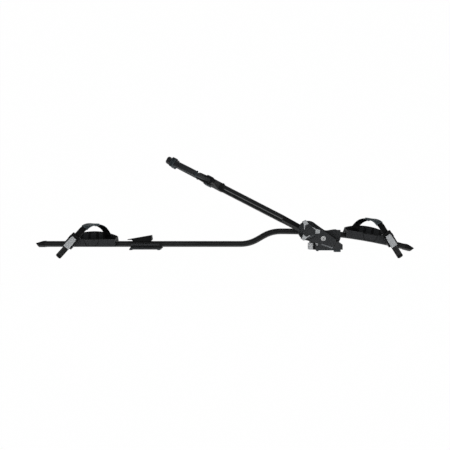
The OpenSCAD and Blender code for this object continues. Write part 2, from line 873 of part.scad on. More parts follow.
// Section of the hub's stem: upright sides, small chamfers above and wide ones below
module stem_outline() {
    w = tube_w / 2;
    top = tube_h / 2 - 0.6;
    small = 4;
    wide_y = 6;
    wide_z = 10;
    polygon([
        [-w, top - small], [small - w, top], [w - small, top], [w, top - small],
        [w, wide_z - top], [w - wide_y, -top], [wide_y - w, -top], [-w, wide_z - top]
    ]);
}

stem_fall = 2;

module arm_hub() {
    color("#1d1f22") difference() {
        union() {
            hub_frame() rod_y(hub_r, -hub_w / 2, hub_w / 2);
            arm_frame() {
                difference() {
                    translate([stem_start, 0, 0]) run_x(stem_end - stem_start) stem_outline();
                    // The stem's top falls towards the hub
                    translate([stem_end, 0, tube_h / 2 - 0.6]) rotate([0, -stem_fall, 0])
                        block([-2 * stem_end, -tube_w, 0], [0, tube_w, tube_h]);
                }
                translate([stem_end - over, 0, 0]) run_x(plug_depth + over)
                    round_rect(tube_bore_w - 2 * seat_gap, tube_bore_h - 2 * seat_gap, 3 - seat_gap);
            }
        }
        hub_frame() {
            rod_y(hub_cavity_r, cheek_t - hub_w / 2, hub_w / 2 - cheek_t);
            rod_y(near_axle_r + run_gap + bush_t + seat_gap, 0, hub_w / 2 + over);
            rod_y(far_axle_r + run_gap + bush_t + seat_gap, -hub_w / 2 - over, 0);
        }
        arm_frame() translate([0, 0, cable_z])
            rod_x(2 * cable_r, -hub_r + over, stem_end + plug_depth + over);
    }
}

module hinge_bushes() {
    color("#d8d5cc") hub_frame() {
        difference() {
            rod_y(near_axle_r + run_gap + bush_t, hub_w / 2 - cheek_t, hub_w / 2);
            rod_y(near_axle_r + run_gap, 0, hub_w);
        }
        difference() {
            rod_y(far_axle_r + run_gap + bush_t, -hub_w / 2, cheek_t - hub_w / 2);
            rod_y(far_axle_r + run_gap, -hub_w, 0);
        }
    }
}

// Claw head: two shells that hold the tube's end and carry the jaws between their cheeks

head_root_w = 15;
side_end = pivot_s - 13;
side_end_w = 34;
facet_end_z = 2;

module head_plan() {
    half = [
        [head_s, head_root_w], [head_s + 20, 20], [pivot_s - 24, 33], [pivot_s - 10, 37], [pivot_s + 8, 37],
        [head_end - 10, 30], [head_end, 22]
    ];
    polygon(concat(half, [for (i = [len(half) - 1:-1:0]) [half[i][0], -half[i][1]]]));
}

module jaw_pin_bores(r, z0, z1) {
    for (y = [-1, 1])
        translate([pivot_s, y * pivot_y, z0]) cylinder(r = r, h = z1 - z0);
}

head_screw_r = 1.6;

module head_screw_bores(r, z0, z1) {
    for (y = [-1, 1])
        translate([head_s + 10, y * (tube_w / 2 + 2.6), z0]) cylinder(r = r, h = z1 - z0);
}

// Side wall of the head, which hides the wedge
module head_side() {
    polygon([
        [head_solid_end - over, 13], [tail_s, 28], [side_end, side_end_w - 4.5],
        [side_end, 2 * side_end_w], [head_solid_end - over, 2 * side_end_w]
    ]);
}

// Slanted cut that widens along the lower edge of the head's side
module facet_cut() {
    run = [side_end - head_s, side_end_w - head_root_w];
    rise = head_h - 2.7 - facet_end_z;
    translate([head_s, head_root_w, 2.7 - head_h])
        rotate([0, -atan2(rise, norm(run)), atan2(run[1], run[0])]) rotate([-45, 0, 0])
            block([-tube_w, 0, -2 * tube_w], [norm(run), 2 * tube_w, 2 * tube_w]);
}

// One shell, above the arm's axis for up = 1 and below it for up = -1
module head_shell(up) {
    difference() {
        intersection() {
            union() {
                along_y(-2 * tube_w, 2 * tube_w) scale([1, up]) polygon([
                    [head_s, 0], [head_s, head_h - 2.7], [head_s + 8, head_h], [pivot_s - 17, head_h - 0.8],
                    [head_end, head_h - 3.7], [head_end, cheek_in], [head_solid_end, cheek_in],
                    [head_solid_end, 0]
                ]);
                mirror([0, 0, (1 - up) / 2]) for (y = [0, 1])
                    mirror([0, y, 0]) linear_extrude(cheek_in + over) head_side();
            }
            translate([0, 0, -2 * head_h]) linear_extrude(4 * head_h) head_plan();
        }
        if (up < 0)
            for (y = [0, 1])
                mirror([0, y, 0]) facet_cut();
        translate([head_s - over, 0, 0]) run_x(tube_insert + over) tube_outline(seat_gap);
        translate([0, 0, cable_z]) rod_x(2 * cable_r, head_s, head_solid_end + over);
        jaw_pin_bores(jaw_pin_r + seat_gap, -2 * head_h, 2 * head_h);
        mirror([0, 0, (1 - up) / 2]) jaw_pin_bores(pivot_cap_r + seat_gap, cap_seat, 2 * head_h);
        head_screw_bores(head_screw_r + seat_gap, -2 * head_h, 2 * head_h);
    }
}

module upper_head_shell() {
    color("#1b1d1f") arm_frame() head_shell(1);
}

module lower_head_shell() {
    color("#2a2c2f") arm_frame() head_shell(-1);
}

module head_screws() {
    color("#8f9396") arm_frame() {
        head_screw_bores(head_screw_r, 2 - head_h, head_h);
        head_screw_bores(1.9 * head_screw_r, head_h, head_h + head_screw_r);
    }
}

module jaw_pins() {
    color("#9b9ea0") arm_frame() jaw_pin_bores(jaw_pin_r, -cap_seat, cap_seat);
}

module pivot_caps() {
    color("#23302f") arm_frame() for (z = [0, 1]) mirror([0, 0, z]) for (y = [-1, 1])
        translate([pivot_s, y * pivot_y, cap_seat]) {
            cylinder(r = pivot_cap_r, h = 0.7 * pivot_cap_h);
            translate([0, 0, 0.7 * pivot_cap_h])
                cylinder(r1 = pivot_cap_r, r2 = pivot_cap_r - 0.4 * pivot_cap_h, h = 0.3 * pivot_cap_h);
        }
}

module finger(a0, a1, w, h, r) {
    translate(finger_c) rotate([0, 0, a0]) rotate_extrude(angle = a1 - a0, $fn = 360)
        translate([finger_r, 0]) round_rect(w, h, r);
}

module jaw() {
    start = around(finger_c, finger_r, root_deg);
    difference() {
        union() {
            translate([0, 0, -root_h / 2]) linear_extrude(root_h) {
                translate([pivot_s, pivot_y]) circle(boss_r);
                translate([tail_s, tail_y]) circle(tail_r);
                polygon([
                    [tail_s, tail_y], [pivot_s, pivot_y - boss_r],
                    around(finger_c, finger_r - finger_t / 2, root_deg - 4),
                    around(finger_c, finger_r + finger_t / 2, root_deg - 4),
                    [pivot_s - 2, pivot_y + boss_r - 0.3], [tail_s, tail_y + tail_r]
                ]);
            }
            finger(finger_deg - 1.5, root_deg, finger_t - 0.6, root_h, 4);
            finger(tip_deg, finger_deg, finger_t, finger_h, 5);
            translate(around(finger_c, finger_r, tip_deg)) rotate_extrude() intersection() {
                round_rect(2 * tip_r, tip_h, tip_r - 1);
                translate([0, -tip_h]) square([2 * tip_r, 2 * tip_h]);
            }
        }
        translate([pivot_s, pivot_y, -root_h]) cylinder(r = jaw_pin_r + run_gap, h = 2 * root_h);
    }
}

module jaw_boot() {
    inner = finger_t + 2 * rubber_t + 2 * seat_gap;
    difference() {
        union() {
            finger(boot_deg0, boot_deg1, finger_t + 8, boot_h, 6);
            finger(finger_deg - seam_deg - 0.4, finger_deg - 0.4, finger_t + 4, finger_h + 4, 5);
            intersection() {
                finger(boot_deg1 - 0.5, finger_deg - seam_deg, inner, finger_h - 3, 3);
                translate([finger_c[0], finger_c[1], -finger_h])
                    cylinder(r = finger_r - finger_t / 2 + 3, h = 2 * finger_h, $fn = 360);
            }
        }
        finger(boot_deg0 - 2, finger_deg + 2, finger_t + 2 * seat_gap, finger_h + 2 * seat_gap, 5 + seat_gap);
    }
}

module near_jaw() {
    color("#222427") arm_frame() jaw();
}

module far_jaw() {
    color("#222427") arm_frame() mirror([0, 1, 0]) jaw();
}

module near_jaw_boot() {
    color("#23302f") arm_frame() jaw_boot();
}

module far_jaw_boot() {
    color("#23302f") arm_frame() mirror([0, 1, 0]) jaw_boot();
}

module claw_wedge() {
    color("#8f9396") arm_frame() translate([0, 0, -wedge_h / 2]) linear_extrude(wedge_h) polygon([
        [wedge_s0, wedge_half(wedge_s0)], [wedge_s1, wedge_half(wedge_s1)],
        [wedge_s1, -wedge_half(wedge_s1)], [wedge_s0, -wedge_half(wedge_s0)]
    ]);
}

module pull_cable() {
    color("#8f9396") arm_frame() translate([0, 0, cable_z]) rod_x(cable_r, cable_s0, wedge_s0);
}

// Knob: y towards the near side, counted from the hub's middle plane

knob_y0 = hub_y - knob_back_y;
knob_y1 = hub_y - knob_front_y;
knob_face = 3;
knob_hollow_r = 15.5;
knob_core_r = 25;
lobe_root = 9.4;
lobe_tip = 6.4;
lobe_deg = -5;
clutch_t = 3;
clutch_r = 14.5;
spring_h = 5;

module lobe(from, inset) {
    polygon([
        [from, inset - lobe_root], [knob_core_r, inset - lobe_root], [knob_r - inset, inset - lobe_tip],
        [knob_r - inset, lobe_tip - inset], [knob_core_r, lobe_root - inset], [from, lobe_root - inset]
    ]);
}

module knob_outline() {
    intersection() {
        circle(knob_core_r);
        circle(2 * knob_flat, $fn = 3);
    }
    for (a = [0:120:240])
        rotate(a) lobe(knob_core_r / 2, 0);
}

// Silver face of one lobe, with the thin leg that runs on along the next flat
module mark() {
    inset = 0.4;
    leg_w = 3.4;
    lobe(knob_core_r - 1, inset);
    rotate(60) translate([knob_flat - inset - leg_w, -18]) square([leg_w, 14]);
}

// Upright whatever the arm's angle, with y towards the near side
module knob_frame() {
    translate([hinge_x, hub_y, hinge_z]) rotate([0, 0, 180]) children();
}

module knob_plan(y0, y1) {
    translate([0, y1, 0]) rotate([90, 0, 0]) linear_extrude(y1 - y0)
        mirror([1, 0]) rotate(lobe_deg) children();
}

module knob() {
    color("#2c2e31") knob_frame() difference() {
        knob_plan(knob_y0, knob_y1) knob_outline();
        rod_y(knob_hollow_r, knob_y0 - over, knob_y1 - 2 * knob_face);
        rod_y(spindle_r + seat_gap, knob_y0, knob_y1 - knob_face);
    }
}

module knob_marks() {
    color("#a3a6a8") knob_frame() knob_plan(knob_y1, knob_y1 + mark_t) for (a = [0:120:240])
        rotate(a) mark();
}

module knob_cap() {
    color("#333639") knob_frame() {
        rod_y(knob_cap_r, knob_y1, knob_y1 + 0.6);
        rod_y(knob_cap_r - 1, knob_y1 + 0.6, knob_y1 + 1);
    }
}

module spindle_drum() {
    flange_r = drum_r + 3.5;
    flange_t = 1.6;
    color("#8f9396") knob_frame() {
        rod_y(drum_r, -drum_half, drum_half);
        rod_y(flange_r, drum_half - flange_t, drum_half);
        rod_y(flange_r, -drum_half, flange_t - drum_half);
        rod_y(stub_r, plate_gap - hub_w / 2, -drum_half);
        rod_y(spindle_r, drum_half, knob_y1 - knob_face);
    }
}

module clutch_plate() {
    top = knob_y1 - 2 * knob_face;
    color("#9b9ea0") knob_frame() difference() {
        rod_y(clutch_r, top - clutch_t, top);
        rod_y(spindle_r + seat_gap, 0, top + over);
    }
}

module clutch_spring() {
    top = knob_y1 - 2 * knob_face - clutch_t;
    inner = spindle_r + 0.5;
    color("#6e7276") knob_frame() translate([0, top, 0]) rotate([90, 0, 0]) rotate_extrude() polygon([
        [clutch_r - 3, 0], [clutch_r - 1, 0], [inner + 2, spring_h], [inner, spring_h]
    ]);
}

// Rear foot

module rear_bolts(r, z0, z1) {
    for (y = [-1, 1])
        translate([foot_x, y * rear_bolt_y, z0]) cylinder(r = r, h = z1 - z0);
}

module rear_saddle() {
    half = saddle_len / 2;
    rail_bottom = rail_low_z - rail_h / 2 - slide_gap;
    color("#1f2124") difference() {
        union() {
            // Sole with its flanges, and the cup round the rail's lower half
            along_y(-saddle_half_w, saddle_half_w) polygon([
                [foot_x - half, saddle_bottom], [foot_x + half - 6, saddle_bottom],
                [foot_x + half, flange_top - 2.5],
                [foot_x + half - 2, flange_top], [foot_x - half + 4, flange_top]
            ]);
            along_y(-saddle_in - saddle_wall, saddle_in + saddle_wall) polygon([
                [foot_x - half + 3, flange_top], [foot_x + half - 3, flange_top],
                [foot_x + half - 10, rail_low_z + 2], [foot_x - half + 6, rail_low_z + 2]
            ]);
        }
        block(
            [foot_x - far_out, -saddle_in, rail_bottom], [foot_x + far_out, saddle_in, rail_low_z + rail_h]
        );
        rear_bolts(bar_bolt_r, -over, flange_top + over);
        translate([lever_pin_x, 0, 0]) cylinder(r = draw_r + seat_gap, h = rail_low_z);
        translate([lever_pin_x, 0, 0])
            cylinder(r = draw_head_r + seat_gap, h = saddle_bottom + draw_head_h + seat_gap, $fn = 6);
        for (x = strip_places)
            translate([x, 0, 0]) block(
                [-strip_w / 2, -saddle_half_w - over, -over], [strip_w / 2, saddle_half_w + over, strip_t]
            );
    }
}

strip_t = 5;
strip_places = [foot_x - saddle_len / 2 + strip_w / 2, foot_x + saddle_len / 2 - strip_w / 2 - 6];
draw_head_r = 7.5;
draw_head_h = 4;

module rear_bar_strips() {
    color("#17191b") for (x = strip_places)
        translate([x, 0, 0]) block(
            [-strip_w / 2, 2 - saddle_half_w, 0], [strip_w / 2, saddle_half_w - 2, strip_t]
        );
}

module draw_bolt() {
    eye_r = lever_pin_r + 3.5;
    eye_half = 4.6;
    color("#8f9396") translate([lever_pin_x, 0, 0]) difference() {
        union() {
            translate([0, 0, saddle_bottom + 0.5]) cylinder(r = draw_head_r, h = draw_head_h - 0.5, $fn = 6);
            translate([0, 0, saddle_bottom + draw_head_h - 0.5])
                cylinder(r = draw_r, h = lever_pin_z - saddle_bottom - draw_head_h + 0.5);
            translate([0, 0, lever_pin_z]) rod_y(eye_r, -eye_half, eye_half);
        }
        translate([0, 0, lever_pin_z]) rod_y(lever_pin_r + seat_gap, -2 * eye_half, 2 * eye_half);
    }
}

module lever_pin() {
    color("#9b9ea0") translate([lever_pin_x, 0, lever_pin_z])
        rod_y(lever_pin_r, 3 - lever_half_w, lever_half_w);
}

module rear_lever() {
    heel = [lever_pin_x, lever_pin_z];
    bottom = rail_top + slide_gap;
    notch_r = lever_pin_r + 3.5 + slide_gap;
    color("#212326") difference() {
        along_y(-lever_half_w, lever_half_w) {
            translate(heel) circle(lever_heel_r);
            polygon([
                heel + [0, bottom - lever_pin_z], heel + [0, lever_heel_r], heel + [lever_heel_r, 0],
                [lever_pin_x + lever_heel_r - 2, rail_top + lever_h],
                [lever_pin_x - lever_len, lever_tip_z], [lever_pin_x - lever_len, lever_tip_z - 2.6],
                [lever_pin_x - lever_len + 16, lever_tip_z - 2.6], [lever_pin_x - lever_len + 20, bottom]
            ]);
        }
        // Bore of the pin, closed on the near side
        translate([lever_pin_x, 0, lever_pin_z])
            rod_y(lever_pin_r + run_gap, 3 - lever_half_w - seat_gap, far_out);
        // Room for the draw bolt's eye, also when the lever is up
        block(
            [lever_pin_x - 3 * notch_r, -5, rail_low_z],
            [lever_pin_x + notch_r + over, 5, lever_pin_z + notch_r]
        );
    }
}

// Wheel holders: x towards the arm, y across the rail, z above the rail's axis

module rear_frame() {
    translate([rear_tray_x, 0, rail_low_z]) children();
}

module front_frame() {
    bow_frame(front_tray_deg) mirror([1, 0, 0]) children();
}

module latch_outline(grow) {
    top = latch_top + grow;
    bottom = latch_top - latch_h - grow;
    half = latch_w / 2 + grow;
    polygon([
        [latch_x - half, top], [latch_x + half, top],
        [latch_x + half - latch_draft, bottom], [latch_x - half + latch_draft, bottom]
    ]);
}

panel_t = 3;
pocket_x = [far_mid_x - 23, far_mid_x + 8];
pocket_w = 10;

module tray() {
    root_half = strap_root_w / 2 + 2;
    color("#222427") difference() {
        union() {
            // Near wall and far wall
            along_y(near_y, near_y + tray_wall) polygon([
                [-tray_half_l, -tray_bottom], [inner_l, -tray_bottom], [inner_l, 0.5 * near_top],
                [inner_l - 5, near_top], [5 - tray_half_l, near_top], [-tray_half_l, 0.5 * near_top]
            ]);
            along_y(tray_half_w - tray_wall, tray_half_w) intersection() {
                translate([far_mid_x, far_top - far_r]) circle(far_r, $fn = 256);
                polygon([
                    [-tray_half_l, -tray_bottom], [inner_l, -tray_bottom], [inner_l - 1, 10],
                    [inner_l - 3, end_high - 6], [inner_l - 7, end_high + 3], [inner_l - 7, far_top],
                    [8 - tray_half_l, far_top], [1 - tray_half_l, 10]
                ]);
            }
            // Panel inside the far wall, with two upright pockets
            along_y(tray_half_w - tray_wall - panel_t, tray_half_w - 0.5 * tray_wall) difference() {
                polygon([
                    [far_mid_x - 44, floor_z], [far_mid_x + 34, floor_z],
                    [far_mid_x + 32, far_top - 5], [far_mid_x - 42, far_top - 7]
                ]);
                for (x = pocket_x)
                    translate([x, floor_top + 4]) square([pocket_w, far_top - floor_top - 10]);
            }
            block(
                [-end_x, near_y + 0.5 * tray_wall, floor_z],
                [inner_end_x, tray_half_w - 0.5 * tray_wall, floor_top]
            );
            // Guides beside the rail, with the short tongues that run in its grooves
            for (y = [0, 1]) mirror([0, y, 0]) {
                block([-end_x, guide_in, -tray_bottom], [inner_end_x, guide_out, floor_top - 1]);
                block([-20, rail_w / 2 - groove_d + slide_gap, slide_gap - groove_h / 2],
                    [20, guide_in + 1, groove_h / 2 - slide_gap]);
            }
            // End walls
            block([-end_x, near_y + 1, -tray_bottom], [tray_wall - end_x, tray_half_w - 1, floor_top]);
            translate([inner_end_x - tray_wall, 0, 0]) run_x(tray_wall) polygon([
                [near_y + 1, -tray_bottom], [tray_half_w - 1, -tray_bottom], [tray_half_w - 1, end_high],
                [24, end_high - 2.5], [15, floor_top + 5], [-28, floor_top + 1], [near_y + 1, near_top]
            ]);
            // Ears that hold the strap's anchor pin
            for (x = [-1, 1])
                translate([anchor_x + x * (root_half + ear_t / 2), 0, 0]) block(
                    [-ear_t / 2, guide_out - 1, -tray_bottom + 1], [ear_t / 2, tray_half_w - 1, floor_top - 1]
                );
        }
        block([-tray_len, -guide_in, -far_out], [-20, guide_in, floor_z]);
        block([20, -guide_in, -far_out], [tray_len, guide_in, floor_z]);
        // Slot in the floor for the strap's root, bores of its pin, and the latch's window with its rim
        block(
            [anchor_x - root_half, guide_out + 0.5, anchor_z],
            [anchor_x + root_half, tray_half_w - tray_wall - 3, floor_top + over]
        );
        translate([0, anchor_y, anchor_z])
            rod_x(small_pin_r + seat_gap, anchor_x - 2 * root_half, anchor_x + 2 * root_half);
        along_y(near_y - over, latch_back + latch_travel + slide_gap) latch_outline(latch_gap);
        along_y(near_y - over, near_y + latch_rim_depth) latch_outline(latch_rim);
    }
}

module strap_sweep(from, to, t, w = 0) {
    count = round((to - from) * strap_steps);
    at = [for (i = [0:count]) from + (to - from) * i / count];
    rings = [for (u = at) ring(u, w > 0 ? w : along(strap_widths, u), t)];
    points = [for (r = rings, p = r) p];
    last = 4 * count;
    sides = [for (i = [0:count - 1], k = [0:3]) let (a = 4 * i + k, b = 4 * i + (k + 1) % 4)
        each [[a, b, b + 4], [a, b + 4, a + 4]]];
    ends = [[2, 1, 0], [3, 2, 0], [last, last + 1, last + 2], [last, last + 2, last + 3]];
    polyhedron(points, concat(sides, ends));
}

module strap() {
    root_half = strap_root_w / 2;
    color("#15171a") difference() {
        union() {
            strap_sweep(1, 10, strap_t);
            translate([0, anchor_y, anchor_z]) rod_x(bead_r, anchor_x - root_half, anchor_x + root_half);
        }
        translate([0, anchor_y, anchor_z])
            rod_x(small_pin_r + seat_gap, anchor_x - strap_root_w, anchor_x + strap_root_w);
    }
}

module rim_pad() {
    color("#23302f") difference() {
        strap_sweep(pad_from, pad_to, strap_t + 2 * (pad_gap + rim_pad_t), rim_pad_w);
        strap_sweep(pad_from - 0.1, pad_to + 0.1, strap_t + 2 * pad_gap, strap_w + 2 * pad_gap);
    }
}

module anchor_pin() {
    half = strap_root_w / 2 + 2 + ear_t;
    color("#9b9ea0") translate([0, anchor_y, anchor_z]) rod_x(small_pin_r, anchor_x - half, anchor_x + half);
}

// Buckle: x up the strap's leg, y away from the near side, z across the strap
module leg_frame() {
    translate(on_leg(0)) rotate([0, -leg_deg, 0]) children();
}

module pin_z(r, half) {
    translate([release_pin_x, release_pin_y, -half]) cylinder(r = r, h = 2 * half);
}

module buckle() {
    slot_w = strap_w / 2 + slide_gap;
    slot_t = strap_t / 2 + slide_gap;
    ear_in = release_half_w + 0.6;
    near = release_pin_y - small_pin_r - 1;
    color("#1a1c1e") leg_frame() difference() {
        union() {
            block([buckle_x0, -buckle_near, -buckle_half_w], [buckle_x1, buckle_far, buckle_half_w]);
            block([-8, buckle_far, -8], [8, near_y - strap_y, 8]);
            for (z = [0, 1]) mirror([0, 0, z])
                block([release_pin_x - 7, near, ear_in], [release_pin_x + 7, 0, buckle_half_w]);
        }
        block([buckle_x0 - over, -slot_t, -slot_w], [buckle_x1 + over, slot_t, slot_w]);
        // Room for the release pad's heel as it swings in
        block([release_pin_x - 6, -far_out, -ear_in], [release_pin_x + 11, -4, ear_in]);
        pin_z(small_pin_r + seat_gap, 2 * buckle_half_w);
    }
}

module release_pin() {
    color("#9b9ea0") leg_frame() pin_z(small_pin_r, buckle_half_w);
}

module release_pad() {
    low_w = 0.95 * release_half_w;
    high_w = 0.78 * release_half_w;
    y0 = -buckle_near - slide_gap - release_t;
    color("#a9acae") leg_frame() difference() {
        along_y(y0, y0 + release_t) polygon([
            [-release_half_l, -low_w], [0, -release_half_w], [release_half_l, -high_w],
            [release_half_l, high_w], [0, release_half_w], [-release_half_l, low_w]
        ]);
        pin_z(small_pin_r + run_gap, 2 * buckle_half_w);
    }
}

module latch() {
    color("#2a2c2f") {
        along_y(near_y - latch_proud, latch_back) latch_outline(0);
        block(
            [latch_x - 9, latch_back, latch_top - latch_h + 5], [latch_x + 9, latch_back + 6, latch_top - 8]
        );
    }
}

module rear_tray() rear_frame() tray();
module rear_strap() rear_frame() strap();
module rear_rim_pad() rear_frame() rim_pad();
module rear_buckle() rear_frame() buckle();
module rear_anchor_pin() rear_frame() anchor_pin();
module rear_release_pin() rear_frame() release_pin();
module rear_release_pad() rear_frame() release_pad();
module rear_latch() rear_frame() latch();
module front_tray() front_frame() tray();
module front_strap() front_frame() strap();
module front_rim_pad() front_frame() rim_pad();
module front_buckle() front_frame() buckle();
module front_anchor_pin() front_frame() anchor_pin();
module front_release_pin() front_frame() release_pin();
module front_release_pad() front_frame() release_pad();
module front_latch() front_frame() latch();

rail();
rear_end_cap();
front_end_cap();
base_casing();
base_bar_pad();
clamp_plate();
clamp_screws();
rail_cradle();
rail_cap();
rail_cap_screws();
hinge_plate();
base_cover();
near_axle();
far_axle();
lock_bezel();
lock_plug();
lock_tongue();
arm_hub();
hinge_bushes();
arm_tube();
upper_head_shell();
lower_head_shell();
head_screws();
jaw_pins();
pivot_caps();
knob();
knob_marks();
knob_cap();
spindle_drum();
clutch_plate();
clutch_spring();
claw_wedge();
pull_cable();
near_jaw();
near_jaw_boot();
far_jaw();
far_jaw_boot();
rear_saddle();
rear_bar_strips();
draw_bolt();
lever_pin();
rear_lever();
rear_tray();
rear_strap();
rear_rim_pad();
rear_buckle();
rear_anchor_pin();
rear_release_pin();
rear_release_pad();
rear_latch();
front_tray();
front_strap();
front_rim_pad();
front_buckle();
front_anchor_pin();
front_release_pin();
front_release_pad();
front_latch();
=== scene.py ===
# %% [markdown]
# A roof mounted bike carrier, seen square from its side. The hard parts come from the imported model
# and keep their shape here. This lesson gives them their finishes, makes the soft pieces (straps,
# rim pads, rubber boots, caps and pads) as surfaces worked out with numpy, and sets up the studio.

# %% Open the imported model
import json
import math
import bmesh
import bpy
import numpy as np
from mathutils import Matrix, Vector


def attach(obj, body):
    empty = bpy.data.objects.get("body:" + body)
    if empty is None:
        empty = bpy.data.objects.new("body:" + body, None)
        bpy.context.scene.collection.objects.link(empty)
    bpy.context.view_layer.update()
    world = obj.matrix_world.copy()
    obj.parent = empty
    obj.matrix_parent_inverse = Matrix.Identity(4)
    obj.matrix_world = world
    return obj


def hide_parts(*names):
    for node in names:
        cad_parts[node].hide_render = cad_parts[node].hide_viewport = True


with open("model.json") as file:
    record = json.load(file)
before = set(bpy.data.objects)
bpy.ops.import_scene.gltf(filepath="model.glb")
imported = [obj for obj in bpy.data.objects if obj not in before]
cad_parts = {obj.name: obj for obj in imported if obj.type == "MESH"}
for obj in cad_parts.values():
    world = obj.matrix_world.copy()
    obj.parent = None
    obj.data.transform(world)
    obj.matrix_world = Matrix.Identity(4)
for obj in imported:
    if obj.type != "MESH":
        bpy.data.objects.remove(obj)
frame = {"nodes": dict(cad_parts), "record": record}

scene = bpy.context.scene
nodes = frame["nodes"]
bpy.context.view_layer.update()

# %% [markdown]
# The photograph was taken level with the carrier, from a few steps away. A 50 mm lens at 2.4 m shows
# the same small amount of perspective: the near strap legs come out a little larger than the far ones.

# %% Camera
camera = bpy.data.objects.new("camera", bpy.data.cameras.new("camera"))
camera.data.lens = 50.0
camera.data.sensor_width = 36.0
camera.location = (-0.395, -2.4, 0.0955)
camera.rotation_euler = (math.pi / 2, 0.0, 0.0)
scene.collection.objects.link(camera)
scene.camera = camera
scene.view_settings.view_transform = "Standard"
print("camera at", tuple(round(v, 3) for v in camera.location))

# %% [markdown]
# Colours are written as sRGB hex, the way a paint chart gives them, and one function turns them into
# the linear light that the shaders work with. Another small function adds a node, sets it and links it.

# %% Colours and nodes
def linear(code):
    """sRGB hex to linear: c / 12.92 below 0.04045, else ((c + 0.055) / 1.055) ** 2.4; alpha 1."""
    c = np.array([int(code[i:i + 2], 16) for i in (1, 3, 5)]) / 255.0
    return (*np.where(c <= 0.04045, c / 12.92, ((c + 0.055) / 1.055) ** 2.4).tolist(), 1.0)


def add(tree, kind, inputs=(), **settings):
    """Adds a node of that kind, gives it its settings, and sets or links each named or numbered input."""
    node = tree.nodes.new("ShaderNode" + kind)
    for key, value in settings.items():
        setattr(node, key, value)
    for key, value in dict(inputs).items():
        if isinstance(value, bpy.types.NodeSocket):
            tree.links.new(value, node.inputs[key])
        else:
            node.inputs[key].default_value = value
    return node


def blank(name):
    """A new material with an empty node tree and its output node."""
    material = bpy.data.materials.new(name)
    material.use_nodes = True
    material.node_tree.nodes.clear()
    return material, material.node_tree, material.node_tree.nodes.new("ShaderNodeOutputMaterial")


print("mid grey #808080 is", [round(v, 3) for v in linear("#808080")[:3]])

# %% [markdown]
# The studio: the carrier is held up at the height of its roof bars, so the pale floor lies well below it
# and keeps only a soft shadow. Floor and backdrop are white to the camera; the rest
# of the room is dim, which is what keeps black plastic black with darker edges against white.

# %% Floor, backdrop and world
FLOOR_Z = -0.45
BACK_Y = 3.2
BACK_TOP = 2.2
FRONT_Y = -9
HALF_W = 12
ROOM_GLOW = 0.15
WHITE_SHARE = 0.995


def stage_white(name):
    """Matt white paint; the camera sees it mostly as plain white, and only from its front."""
    material, tree, out = blank(name)
    path = add(tree, "LightPath")
    share = add(tree, "Math", {0: path.outputs["Is Camera Ray"], 1: WHITE_SHARE}, operation="MULTIPLY")
    paint = add(tree, "BsdfDiffuse", {"Color": linear("#f4f4f4")})
    glow = add(tree, "Emission", {"Color": (1, 1, 1, 1), "Strength": 1.0})
    front = add(tree, "MixShader", {0: share.outputs[0], 1: paint.outputs[0], 2: glow.outputs[0]})
    back = add(tree, "NewGeometry").outputs["Backfacing"]
    clear = add(tree, "BsdfTransparent")
    both = add(tree, "MixShader", {0: back, 1: front.outputs[0], 2: clear.outputs[0]})
    tree.links.new(both.outputs[0], out.inputs["Surface"])
    return material


def stage_sheet(name, corners, material):
    """One flat four-cornered sheet of the stage."""
    mesh = bpy.data.meshes.new(name)
    mesh.from_pydata(corners, [], [(0, 1, 2, 3)])
    mesh.materials.append(material)
    sheet = bpy.data.objects.new(name, mesh)
    scene.collection.objects.link(sheet)


studio_white = stage_white("studio_matt_white_paint")
low_left, low_right = (-HALF_W, BACK_Y, FLOOR_Z), (HALF_W, BACK_Y, FLOOR_Z)
floor_corners = [(-HALF_W, FRONT_Y, FLOOR_Z), (HALF_W, FRONT_Y, FLOOR_Z), low_right, low_left]
back_corners = [low_left, low_right, (HALF_W, BACK_Y, BACK_TOP), (-HALF_W, BACK_Y, BACK_TOP)]
stage_sheet("floor", floor_corners, studio_white)
stage_sheet("backdrop", back_corners, studio_white)

world = bpy.data.worlds.new("studio_room")
scene.world = world
world.use_nodes = True
world.node_tree.nodes.clear()
path = add(world.node_tree, "LightPath")
room = add(world.node_tree, "Background", {"Color": (1, 1, 1, 1), "Strength": ROOM_GLOW})
white = add(world.node_tree, "Background", {"Color": (1, 1, 1, 1), "Strength": 1.0})
sky = add(world.node_tree, "MixShader", {
    0: path.outputs["Is Camera Ray"], 1: room.outputs[0], 2: white.outputs[0]})
add(world.node_tree, "OutputWorld", {"Surface": sky.outputs[0]})
print("floor at", FLOOR_Z, "backdrop at", BACK_Y)

# %% [markdown]
# Soft boxes. In the photograph the upper edges are the darkest places and everything that looks down and
# forward is lighter, so the strongest light lies low in front, like a lit table, with a longer and calmer
# one before it. The side and high lights are weak, and the rest stand behind the carrier, where they
# only show its back, its ends and its top.

# %% Lamps
def soft_box(name, place, target, width, height, radiance):
    """An area lamp that faces its target; watts = radiance * pi * width * height."""
    data = bpy.data.lights.new(name, "AREA")
    data.shape = "RECTANGLE"
    data.size, data.size_y, data.energy = width, height, radiance * math.pi * width * height
    lamp = bpy.data.objects.new(name, data)
    turn = (Vector(target) - Vector(place)).to_track_quat("-Z", "Y")
    lamp.matrix_world = Matrix.Translation(place) @ turn.to_matrix().to_4x4()
    lamp.visible_camera = False
    scene.collection.objects.link(lamp)
    print(name, round(data.energy, 1), "W")


